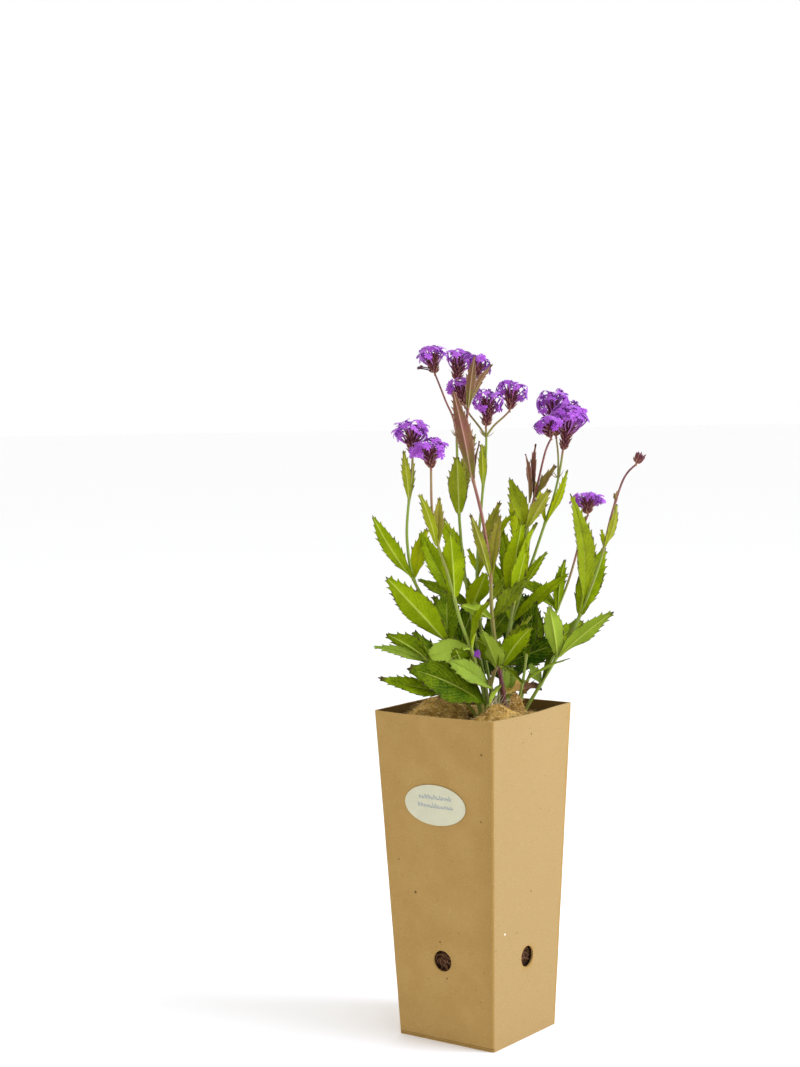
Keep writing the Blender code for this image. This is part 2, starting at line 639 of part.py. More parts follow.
def main():
    for thing in list(bpy.data.objects):
        bpy.data.objects.remove(thing)
    verbena = add_collection("Verbena")
    pot_cutters = add_collection("Pot cutters")
    soil_cutters = add_collection("Soil cutters")
    felt_cutters = add_collection("Felt cutters")

    pot(verbena, pot_cutters, add_material("Brown board", (0.52, 0.36, 0.19), 0.85))
    oval_label(verbena, add_material("Cream paper", (0.80, 0.74, 0.52), 0.60))
    soil(verbena, soil_cutters, add_material("Dark soil", (0.05, 0.032, 0.02), 0.95))
    felt(verbena, felt_cutters, add_material("Tan felt", (0.50, 0.33, 0.16), 0.95))

    leaf_green = add_material("Leaf green", (0.19, 0.30, 0.03), 0.55)
    for number, (name, plan) in enumerate(STEMS.items()):
        leafy_stem(name, plan, verbena, leaf_green, number * 100)

    maroon = add_material("Calyx maroon", (0.09, 0.02, 0.035), 0.70)
    violet = add_material("Floret violet", (0.32, 0.08, 0.62), 0.60)
    for seed, (name, plan) in enumerate(HEADS.items()):
        flower_head(name, plan, verbena, maroon, violet, seed)
    foot, length, turn = head_frame(*BUD)
    calyx_spike("bud_1", foot, turn, length, verbena, maroon, 50)


main()
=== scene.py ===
# Verbena in a square card pot: how it looks. Metres, +Z up, the pot's label side faces -Y.
import math
import random

import bpy
import numpy as np
from mathutils import Matrix, Vector, noise


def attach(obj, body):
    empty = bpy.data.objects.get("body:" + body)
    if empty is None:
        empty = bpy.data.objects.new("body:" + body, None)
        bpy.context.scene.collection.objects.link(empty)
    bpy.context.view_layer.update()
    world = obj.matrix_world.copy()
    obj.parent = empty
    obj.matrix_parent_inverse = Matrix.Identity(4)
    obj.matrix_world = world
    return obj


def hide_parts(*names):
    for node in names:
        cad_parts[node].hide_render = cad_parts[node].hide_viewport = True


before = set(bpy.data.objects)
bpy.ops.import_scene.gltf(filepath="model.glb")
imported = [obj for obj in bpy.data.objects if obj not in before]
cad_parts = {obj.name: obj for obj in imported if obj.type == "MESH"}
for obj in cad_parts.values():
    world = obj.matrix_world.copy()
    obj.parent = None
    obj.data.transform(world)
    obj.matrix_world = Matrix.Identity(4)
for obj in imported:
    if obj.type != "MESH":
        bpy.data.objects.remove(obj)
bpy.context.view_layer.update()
mm = 0.001
up = Vector((0, 0, 1))
fullTurn = 2 * math.pi
goldenAngle = math.radians(137.5)


# Node helpers: a new node joins the tree of the node or socket that is given first

def addNode(beside, kind, sockets, **settings):
    tree = beside.id_data
    node = tree.nodes.new(kind)
    for key, value in settings.items():
        setattr(node, key, value)
    for socket, value in sockets.items():
        if isinstance(value, bpy.types.NodeSocket):
            tree.links.new(value, node.inputs[socket])
        else:
            node.inputs[socket].default_value = value
    return node


def newMaterial(name, roughness, specular=0.3):
    material = bpy.data.materials.new(name)
    material.use_nodes = True
    shader = material.node_tree.nodes["Principled BSDF"]
    shader.inputs["Roughness"].default_value = roughness
    shader.inputs["Specular IOR Level"].default_value = specular
    return material, shader, addNode(shader, "ShaderNodeTexCoord", {}).outputs["Object"]


def tag(shader, name):
    return addNode(shader, "ShaderNodeAttribute", {}, attribute_name=name).outputs["Fac"]


def calc(operation, a, b=0.0):
    return addNode(a, "ShaderNodeMath", {0: a, 1: b}, operation=operation).outputs[0]


def times(a, b):
    return calc("MULTIPLY", a, b)


def plus(a, b):
    return calc("ADD", a, b)


def blend(factor, a, b):
    a, b = [(*x, 1.0) if isinstance(x, tuple) else x for x in (a, b)]
    return addNode(factor, "ShaderNodeMix", {0: factor, 6: a, 7: b}, data_type="RGBA").outputs[2]


def between(value, low, high, toLow=0.0, toHigh=1.0):
    sockets = {"Value": value, "From Min": low, "From Max": high, "To Min": toLow, "To Max": toHigh}
    return addNode(value, "ShaderNodeMapRange", sockets, interpolation_type="SMOOTHSTEP").outputs[0]


def grain(place, scale, detail=3.0, stretch=None):
    if stretch:
        place = addNode(place, "ShaderNodeMapping", {"Vector": place, "Scale": stretch}).outputs[0]
    return addNode(place, "ShaderNodeTexNoise", {"Vector": place, "Scale": scale, "Detail": detail}).outputs[0]


# A pattern as a shift either way, of up to reach
def sway(pattern, reach):
    return between(pattern, 0.3, 0.7, -reach, reach)


def ramp(value, stops):
    node = addNode(value, "ShaderNodeValToRGB", {"Fac": value})
    elements = node.color_ramp.elements
    while len(elements) < len(stops):
        elements.new(0.5)
    for element, (place, color) in zip(elements, stops):
        element.position = place
        element.color = (*color, 1.0)
    return node.outputs[0]


def setSurface(shader, color, height=None, strength=0.0, distance=0.0):
    links = shader.id_data.links
    links.new(color, shader.inputs["Base Color"])
    if height:
        bump = addNode(shader, "ShaderNodeBump", {"Height": height, "Strength": strength, "Distance": distance})
        links.new(bump.outputs[0], shader.inputs["Normal"])


def plainMaterial(name, color, other, scale, roughness, bump=0.4):
    material, shader, place = newMaterial(name, roughness)
    pattern = grain(place, scale, 4)
    setSurface(shader, blend(between(pattern, 0.35, 0.65), color, other), pattern, bump, 0.0003)
    return material


# Mesh helpers: a growth collects points, faces and a value of each tag for every point

tagNames = ("along", "across", "vein", "under", "tone", "flush", "pale")


def newGrowth():
    return dict(points=[], faces=[], slots=[], tags={name: [] for name in tagNames})


def addShape(growth, points, faces, slot=0, **tags):
    first = len(growth["points"])
    growth["points"].extend(points)
    growth["faces"].extend([tuple(first + i for i in face) for face in faces])
    growth["slots"].extend([slot] * len(faces))
    for name in tagNames:
        value = tags.get(name, 0.0)
        growth["tags"][name].extend(value if isinstance(value, (list, tuple)) else [value] * len(points))


def newObject(name, data):
    made = bpy.data.objects.new(name, data)
    bpy.context.scene.collection.objects.link(made)
    return made


def newMesh(name, growth):
    mesh = bpy.data.meshes.new(name)
    mesh.from_pydata([tuple(p) for p in growth["points"]], [], growth["faces"])
    return mesh


def makePiece(name, growth, materials, node, sharp=60):
    mesh = newMesh(name, growth)
    for tagName, values in growth["tags"].items():
        if any(values):
            mesh.attributes.new(tagName, "FLOAT", "POINT").data.foreach_set("value", values)
    for material in materials:
        mesh.materials.append(material)
    mesh.polygons.foreach_set("material_index", growth["slots"])
    mesh.shade_smooth()
    mesh.set_sharp_from_angle(angle=math.radians(sharp))
    piece = newObject(name, mesh)
    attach(piece, "root")
    if node:
        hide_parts(node)
    return piece


# Quads between rows of points; in a closed row the last point joins the first
def quadRows(rows, wide, closed=True):
    starts = [(r * wide + k, r * wide + (k + 1) % wide)
              for r in range(rows - 1) for k in range(wide if closed else wide - 1)]
    return [(a, b, b + wide, a + wide) for a, b in starts]


# Closed rows with a cap at both ends
def tubeFaces(rows, wide):
    return quadRows(rows, wide) + [tuple(reversed(range(wide))), tuple(range((rows - 1) * wide, rows * wide))]


# A thin sheet: its front, its back and the rim between them
def addSheet(growth, front, back, faces, backFaces=None, slot=0, **tags):
    count = len(front)
    backFaces = backFaces or [face[::-1] for face in faces]
    low = [tuple(count + i for i in face) for face in backFaces]
    edges = dict.fromkeys((a, b) for face in faces for a, b in zip(face, face[1:] + face[:1]))
    rim = [(b, a, a + count, b + count) for a, b in edges if (b, a) not in edges]
    addShape(growth, front + back, faces + low + rim, slot, **tags)


# A sheet of closed rings, given from its middle outward
def addDisc(growth, front, back, wide, **tags):
    quads = quadRows(len(front) // wide, wide)
    middle = tuple(range(wide))
    faces = [middle] + [(a, d, c, b) for a, b, c, d in quads]
    addSheet(growth, front, back, faces, [middle[::-1]] + quads, **tags)


# Rings of points along a line, closed at both ends
def sweep(growth, line, radii, sides, slot=0, squareness=0.0, flat=1.0, **tags):
    count = len(line)
    ahead = [(line[min(i + 1, count - 1)] - line[max(i - 1, 0)]).normalized() for i in range(count)]
    side = ahead[0].orthogonal().normalized()
    points = []
    for i, point in enumerate(line):
        side = (side - ahead[i] * side.dot(ahead[i])).normalized()
        other = ahead[i].cross(side)
        for k in range(sides):
            angle = fullTurn * k / sides
            radius = radii[i] * (1 + squareness * math.cos(4 * angle))
            points.append(point + side * radius * math.cos(angle) + other * radius * flat * math.sin(angle))
    spread = {name: [v for v in value for _ in range(sides)] if isinstance(value, list) else value
              for name, value in tags.items()}
    addShape(growth, points, tubeFaces(count, sides), slot, **spread)


# A smooth curve through points given in millimetres
def smoothPath(points, spacing):
    points = [Vector(p) * mm for p in points]
    ends = [2 * points[0] - points[1]] + points + [2 * points[-1] - points[-2]]
    line = []
    for a, b, c, d in zip(ends, ends[1:], ends[2:], ends[3:]):
        steps = max(1, round((c - b).length / spacing))
        for i in range(steps):
            t = i / steps
            line.append(0.5 * (2 * b + (c - a) * t + (2 * a - 5 * b + 4 * c - d) * t * t
                               + (3 * b - a - 3 * c + d) * t ** 3))
    line.append(points[-1])
    return line


# Takes small kinks out of a line and keeps its ends
def relax(line, rounds=6):
    for _ in range(rounds):
        line = [line[0]] + [(a + b * 2 + c) / 4 for a, b, c in zip(line, line[1:], line[2:])] + [line[-1]]
    return line


# A short bow from a to c that bends towards b
def curve(a, b, c, count):
    shares = [i / (count - 1) for i in range(count)]
    return [a.lerp(b, share).lerp(b.lerp(c, share), share) for share in shares]


def circleWay(angle, rise=0.0):
    return Vector((math.cos(angle), math.sin(angle), rise))


def jitter(draw, reach):
    return Vector([draw.uniform(-reach, reach) for _ in range(3)])


# The growth plan. path: a stem's centre line in millimetres. radii: at its foot and tip.
# flush: how red it is by height, from 0 green to 1 purple. stalks: lines to flower heads.
# leaves: a height, then leaves of (compass angle, rise, length, width, roll) and how one differs from the
# rest: a red flush, paleness, a shift of tone, more arch, fold or wave, or a root of its own.

stems = {
    "leafy_stem_1": dict(radii=(1.5, 0.8), flush=[(330, 0.0), (368, 0.35)], path=[
        (8, -1, 203), (5, -6, 219), (1, -13, 234), (-3, -20, 247), (-10, -30, 271), (-17, -39, 291),
        (-19, -42, 313), (-18, -43, 329), (-14, -43, 356), (-13, -43, 368)], leaves=[
        (341, (-79, 78, 31, 6, 25, dict(flush=0.25)), (99, 73, 24, 5, 25, dict(flush=0.2))),
        (292, (-121, 57, 48, 11, 55, dict(arch=-25)), (92, 63, 34, 10, 20)),
        (251, (-113, 45, 61, 20, 55, dict(arch=-18)), (125, 49, 40, 17, 5)),
        (231, (-70, 38, 30, 12, 30))]),
    "leafy_stem_2": dict(radii=(1.4, 0.8), flush=[(290, 0.1), (335, 0.42), (360, 0.55)], path=[
        (13, -4, 203), (13, -8, 220), (12, -13, 235), (11, -18, 248), (9, -26, 265), (8, -31, 281),
        (7, -37, 298), (4, -43, 316), (3, -46, 335), (5, -49, 360)], leaves=[
        (316, (-105, 68, 35, 7, 40, dict(flush=0.2, root=(4.4, -43, 312.5))),
              (113, 74, 31, 7, 10, dict(flush=0.5, root=(4.4, -43, 313)))),
        (280, (-63, 71, 44, 15, 8), (177, 58, 48, 13, -35, dict(arch=-40))),
        (248, (-140, -14, 31, 15, -62, dict(pale=0.7)), (27, 70, 33, 12, 30, dict(tone=0.1))),
        (228, (-123, 34, 37, 14, -78, dict(pale=0.6, root=(18, -5, 221))),
              (36, 75, 20, 9, -20, dict(tone=-0.5, flush=0.5, root=(16, -6, 216))))]),
    "leafy_stem_3": dict(radii=(1.4, 0.8), flush=[(370, 0.05), (385, 0.6), (418, 0.9)], path=[
        (6, 9, 203), (3, 9, 221), (-2, 9, 243), (-8, 9, 271), (-13, 9, 300), (-15, 10, 316), (-16, 10, 330),
        (-18, 12, 357), (-19, 13, 382), (-20, 15, 413)], leaves=[
        (330, (-59, 72, 39, 13, 5, dict(flush=0.22, tone=-0.12)),
              (87, 70, 53, 9, 30, dict(flush=0.4, tone=-0.2))),
        (296, (156, 47, 39, 11, -20), (-150, 70, 32, 7, 0)),
        (268, (-165, 28, 40, 14, -30, dict(tone=-0.3)), (-20, 55, 30, 15, -20)),
        (224, (-112, 36, 34, 13, 60), (207, 50, 39, 15, -40))], stalks=[
        [(-19, 13, 378), (-23, 15, 391), (-28, 16, 398), (-33, 16, 409), (-38, 17, 418)]]),
    "leafy_stem_4": dict(radii=(1.7, 0.8), flush=[(200, 1.0), (228, 0.9), (245, 0.3), (285, 0.35),
        (305, 0.65), (400, 0.7), (413, 0.6)], path=[
        (20, 8, 203), (19, 6, 216), (18, 3, 232), (16, 0, 257), (16, -2, 276), (16, -2, 290), (15, -4, 309),
        (12, -6, 332), (8, -9, 353), (6, -11, 370), (5, -11, 386), (6, -10, 396), (6, -8, 413)], leaves=[
        (396, (-35, 68, 35, 6, -20, dict(flush=0.8, tone=-0.45)),
              (20, 60, 32, 5, -40, dict(flush=0.9, tone=-0.4))),
        (352, (-116, 77, 58, 11, 50, dict(flush=1.0, tone=-0.4)),
              (20, 80, 24, 4.5, 30, dict(flush=0.8, tone=-0.4))),
        (291, (-100, 67, 44, 7, 45, dict(flush=0.4)), (67, 79, 40, 8, 40, dict(flush=0.5))),
        (264, (-112, 24, 26, 9, 60, dict(pale=0.6)), (57, 47, 34, 12, 40, dict(flush=0.1))),
        (233, (-96, 60, 31, 20, -8, dict(pale=1.0, tone=0.3)), (-6, 47, 39, 15, -38, dict(tone=0.1))),
        (217, (50, 6, 25, 12, -62, dict(withered=True, fold=22, wave=3.5))),
        (222, (-92, -42, 19, 11, 55, dict(tone=0.2, pale=0.9, root=(19, 3, 223))))]),
    "leafy_stem_5": dict(radii=(1.4, 0.8), flush=[(374, 0.05), (384, 0.35), (397, 0.5)], path=[
        (8, 16, 203), (3, 15, 220), (-1, 14, 242), (-4, 13, 271), (-4, 12, 291), (-1, 10, 316), (1, 10, 331),
        (3, 10, 348), (5, 11, 370), (5, 11, 384)], leaves=[
        (347, (-63, 79, 27, 5, 10, dict(flush=0.2)), (110, 80, 26, 5, 35, dict(flush=0.2))),
        (292, (158, 56, 17, 4, -40), (70, 68, 49, 10, 40, dict(flush=0.4))),
        (264, (-180, 62, 38, 13, 50), (30, 50, 44, 13, 20)),
        (242, (153, 22, 44, 20, -62, dict(tone=-0.1)), (87, 36, 48, 16, 30)),
        (290, (45, 59, 48, 9, 40))], stalks=[
        [(5, 11, 378), (0, 9, 386), (-4, 6, 392), (-6, 4, 397)],
        [(5, 11, 378), (8, 15, 385), (11, 20, 389), (15, 23, 394)]]),
    "leafy_stem_6": dict(radii=(1.5, 0.8), flush=[(345, 0.05), (376, 0.5)], path=[
        (14, 21, 203), (12, 21, 217), (9, 23, 239), (9, 28, 253), (11, 34, 269), (13, 41, 284), (16, 47, 299),
        (20, 55, 321), (23, 62, 339), (25, 66, 355), (26, 68, 367)], leaves=[
        (322, (21, 67, 37, 6, -50, dict(arch=-40)), (-174, 72, 32, 5, -40)),
        (284, (4, 53, 31, 6, -45, dict(root=(12, 38.5, 280))), (166, 79, 68, 12, -30)),
        (260, (40, 39, 47, 10, 55), (175, 67, 40, 14, -40)),
        (232, (30, 20, 40, 18, 76, dict(tone=-0.28)))], stalks=[
        [(24, 65, 350), (22, 69, 363), (18, 73, 376)]]),
    "leafy_stem_7": dict(radii=(1.4, 0.7), flush=[(320, 0.1), (345, 0.75), (376, 0.9)], path=[
        (14, 4, 203), (15, 8, 218), (16, 12, 240), (20, 17, 272), (23, 21, 297), (26, 24, 320), (28, 28, 335),
        (30, 32, 349), (33, 37, 370), (35, 40, 376)], leaves=[
        (345, (37, 88, 35, 6, 35, dict(flush=0.95, tone=-0.5, root=(28.5, 29, 338))),
              (35, 57, 24, 7, 40, dict(flush=0.7, tone=-0.3, root=(29, 30, 339))),
              (-143, 86, 31, 8, 20, dict(flush=0.95, tone=-0.5, root=(26.5, 28, 336)))),
        (320, (13, 57, 29, 10, -50, dict(flush=0.35)), (169, 66, 34, 11, -30, dict(flush=0.12))),
        (272, (-26, 78, 54, 16, -20), (153, 73, 52, 12, -20)),
        (235, (14, 58, 36, 13, -40, dict(flush=0.15, tone=0.2)), (-106, 40, 27, 15, 60, dict(tone=-0.1))),
        (271, (20, 74, 55, 18, -10))]),
    "leafy_stem_8": dict(radii=(1.3, 0.7), flush=[(270, 0.1), (300, 0.7), (326, 0.9)], path=[
        (18, 24, 203), (18, 30, 215), (20, 37, 227), (23, 42, 240), (27, 47, 253), (30, 53, 266),
        (34, 60, 283), (37, 65, 300), (40, 70, 319), (42, 72, 326)], leaves=[
        (266, (-4, 79, 34, 8, -40), (-163, 36, 34, 13, -25)),
        (237, (76, 24, 45, 15, 40), (149, 66, 42, 14, -15))]),
    "leafy_stem_9": dict(radii=(1.4, 0.7), flush=[(300, 0.1), (325, 0.6), (359, 1.0)], path=[
        (26, 17, 203), (31, 21, 213), (36, 23, 222), (42, 25, 232), (47, 28, 242), (53, 31, 252),
        (59, 34, 266), (65, 38, 284), (70, 42, 302), (74, 45, 323), (77, 48, 337), (82, 52, 354),
        (87.2, 56, 359.5)], leaves=[
        (337, (3, 82, 6, 2, -40, dict(flush=0.8)), (-174, 80, 5, 2, -40, dict(flush=0.8))),
        (308, (8, 73, 29, 6, -40, dict(flush=0.3, arch=-35)), (140, 70, 11, 3, -10)),
        (266, (-143, 86, 78, 15, -62, dict(arch=19, tone=0.12, flush=0.12)),
              (67, 64, 46, 16, 60, dict(tone=0.1))),
        (240, (18, 39, 46, 12, -60, dict(pale=0.4, arch=-4)), (-77, 65, 37, 13, 20, dict(pale=0.8))),
        (222, (-160, 60, 14, 7, -60, dict(pale=0.6)), (42, 60, 30, 12, 0, dict(tone=-0.1))),
        (250, (80, 52, 20, 8, -20, dict(pale=0.3)))]),
    "basal_shoot_1": dict(radii=(1.3, 1.0), path=[
        (8, -6, 201), (6, -12, 209), (4, -21, 218), (-1, -27, 229), (-6, -32, 237), (-10, -35, 243)], leaves=[
        (240, (-137, 33, 33, 15, 60, dict(tone=-0.1)),
              (-140, 19, 37, 7, -60, dict(tone=0.1, pale=0.45, root=(-9, -34, 238)))),
        (219, (-131, 14, 52, 12, -60, dict(tone=0.15, root=(4, -22, 219.5), arch=-16)),
              (-125, 27, 57, 28, -72, dict(tone=0.1, root=(14, -7, 211.5)))),
        (238, (-150, 58, 24, 13, -30, dict(tone=0.05)))]),
    "basal_shoot_2": dict(radii=(1.2, 0.9), path=[
        (2, 5, 203), (-4, 6, 215), (-11, 7, 230), (-17, 7, 243)], leaves=[
        (241, (165, 55, 42, 14, -20), (85, 58, 40, 19, 25, dict(tone=-0.1))),
        (224, (-165, 25, 40, 14, -30), (100, 30, 34, 12, 10))]),
    "basal_shoot_3": dict(radii=(1.2, 0.9), path=[
        (23, 11, 203), (29, 9, 215), (34, 7, 230), (36, 7, 243)], leaves=[
        (241, (100, 62, 38, 13, -10, dict(tone=-0.15))),
        (224, (10, 28, 36, 6, -12, dict(pale=0.3)), (-116, 40, 20, 7, 10, dict(tone=-0.1))),
        (213, (115, 62, 25, 12, 0, dict(pale=0.7, tone=0.1, root=(20, 10, 211))))]),
    "basal_shoot_4": dict(radii=(1.2, 0.9), path=[
        (10, 25, 203), (6, 32, 215), (3, 38, 230), (1, 42, 243)], leaves=[
        (240, (110, 50, 45, 18, 0, dict(tone=-0.15)), (60, 66, 34, 14, 10, dict(tone=-0.15))),
        (221, (175, 26, 46, 18, -66, dict(tone=-0.2)), (75, 24, 40, 14, 10))]),
}

plantFoot = 0.186
surfaceLevel = 0.199

# What leaves share. Each has a tone, paler the higher it grows: toneFrom and toneOver are in millimetres
leafLook = dict(
    thickness=0.00042, edgeThickness=0.00026, keel=0.0007, groove=0.0002,
    fold=(12, 24), arch=(4, 28), rootStep=0.0006, rootOffset=0.45,
    widestAt=0.50, tipPower=1.5, bareShare=0.16, toothSpacing=0.0044, toothHeight=0.0012, usualWidth=0.013,
    pucker=0.00035, wave=0.0007, curl=0.05, veinLean=0.9,
    tone=0.175, toneRise=0.5, toneFrom=222, toneOver=75, toneSpread=0.16,
    dark=(0.014, 0.046, 0.0005), mid=(0.200, 0.272, 0.0006), light=(0.42, 0.45, 0.002),
    vein=(0.46, 0.52, 0.09), underside=(0.26, 0.36, 0.002), paleGreen=(0.37, 0.50, 0.065),
    flushed=(0.215, 0.070, 0.062), flushedVein=(0.52, 0.29, 0.23), tip=(0.050, 0.017, 0.016), roughness=0.55,
    withered=((0.0, (0.42, 0.36, 0.06)), (0.35, (0.45, 0.27, 0.05)), (0.62, (0.16, 0.075, 0.03)),
              (1.0, (0.07, 0.035, 0.02))))


def leafMaterial():
    look = leafLook
    material, shader, place = newMaterial("leafGreen", look["roughness"], 0.03)
    along, vein, under, tone, flush, pale = [
        tag(shader, name) for name in ("along", "vein", "under", "tone", "flush", "pale")]
    edge = calc("ABSOLUTE", tag(shader, "across"))
    fromVein = calc("PINGPONG", vein, 0.5)
    mottle = grain(place, 110, 4)
    shade = plus(plus(tone, sway(mottle, 0.09)), between(fromVein, 0.15, 0.5, 0.0, -0.05))
    shade = plus(shade, between(grain(place, 700, 3), 0.35, 0.65, -0.06, 0.06))
    color = ramp(shade, [(0.0, look["dark"]), (0.5, look["mid"]), (1.0, look["light"])])
    color = blend(times(pale, 0.9), color, look["paleGreen"])
    color = blend(times(under, 0.28), color, look["underside"])
    red = times(flush, between(mottle, 0.2, 0.75, 1.0, 0.72))
    color = blend(times(red, between(along, 0.0, 0.55, 0.35, 1.0)), color, look["flushed"])
    # Veins, and the pale margin of a red leaf
    sideVein = times(between(fromVein, 0.11, 0.01), between(edge, 1.0, 0.6))
    midVein = between(edge, 0.07, 0.02)
    veinColor = blend(flush, look["vein"], look["flushedVein"])
    color = blend(times(sideVein, between(mottle, 0.35, 0.65, 0.06, 0.22)), color, veinColor)
    color = blend(times(midVein, 0.6), color, veinColor)
    margin = times(between(edge, 0.82, 0.96), flush)
    color = blend(times(margin, 0.7), color, look["flushedVein"])
    # Burnt edge, tip and spots
    speckle = between(grain(place, 330, 2), 0.5, 0.62)
    atEdge = calc("MAXIMUM", between(edge, 0.93, 0.99, 0.0, 0.45), times(between(edge, 0.80, 0.96), speckle))
    atTip = between(plus(along, sway(mottle, 0.06)), 0.93, 1.02)
    spots = times(between(grain(place, 620, 1), 0.72, 0.78), between(along, 0.35, 0.8))
    burnt = calc("MAXIMUM", calc("MAXIMUM", atTip, atEdge), spots)
    color = blend(times(burnt, 0.88), color, look["tip"])
    relief = calc("SUBTRACT", times(grain(place, 900, 3), 0.5), plus(sideVein, times(midVein, 0.5)))
    setSurface(shader, color, relief, 0.32, 0.0003)
    return material


# A dead leaf: ochre where it starts, dark brown at its curled end
def witheredMaterial():
    material, shader, place = newMaterial("witheredLeaf", 0.8)
    pattern = grain(place, 260, 4)
    share = plus(tag(shader, "along"), sway(pattern, 0.15))
    setSurface(shader, ramp(share, leafLook["withered"]), pattern, 0.6, 0.0006)
    return material


stemLook = dict(
    green=(0.215, 0.29, 0.035), olive=(0.26, 0.20, 0.06), pink=(0.28, 0.105, 0.078),
    purple=(0.13, 0.038, 0.045),
    usualFlush=[(200, 0.1), (250, 0.05)], radiusShare=0.82, stalkTaper=0.8, ridge=0.10, sides=12,
    hairsEach=3, hairLength=0.0011, hairRadius=0.00004, hairColors=((0.62, 0.62, 0.48), (0.7, 0.7, 0.58)),
    spacing=0.0025, stalkSpacing=0.002, joint=1.35, jointLength=0.0016,
    whiskers=4, whisker=(0.0035, 0.0052, 0.0028),
    whiskerRadii=(0.0004, 0.00035, 0.00028, 0.0002, 0.00005))


def stemMaterial():
    look = stemLook
    material, shader, place = newMaterial("squareStem", 0.5)
    streak = grain(place, 500, 3, (1, 1, 0.08))
    color = ramp(plus(tag(shader, "flush"), sway(streak, 0.12)),
                 [(0.05, look["green"]), (0.35, look["olive"]), (0.68, look["pink"]), (1.0, look["purple"])])
    setSurface(shader, color, streak, 0.4, 0.0003)
    return material


def pointAtHeight(line, height):
    for a, b in zip(line, line[1:]):
        if a.z <= height <= b.z:
            return a.lerp(b, (height - a.z) / (b.z - a.z))
    return line[-1]


def halfWidth(share):
    widest = leafLook["widestAt"]
    if share < widest:
        return math.sin((0.2 + 0.8 * share / widest) * math.pi / 2)
    return 1 - ((share - widest) / (1 - widest)) ** leafLook["tipPower"]


# Stations along a blade: share of its length, how far a tooth stands out, how far it leans ahead
def leafStations(teeth):
    bare = leafLook["bareShare"]
    step = (0.95 - bare) / teeth
    stations = [(share, 0.0, 0.0) for share in (0.0, 0.012, 0.03, 0.07, 0.12)]
    for i in range(teeth):
        start = bare + i * step
        stations += [(start + part * step, reach, lean * step) for part, reach, lean in
                     ((0.0, -0.2, 0.0), (0.4, 0.0, 0.0), (0.68, 0.30, 0.08), (0.84, 1.0, 0.42))]
    return stations + [(share, 0.0, 0.0) for share in (0.965, 0.985, 1.0)], step


# Places across a blade, from its middle vein to both edges
halfColumns = (0.045, 0.14, 0.36, 0.6, 0.8, 0.93, 1.0)
columns = tuple(-t for t in reversed(halfColumns)) + (0.0,) + halfColumns


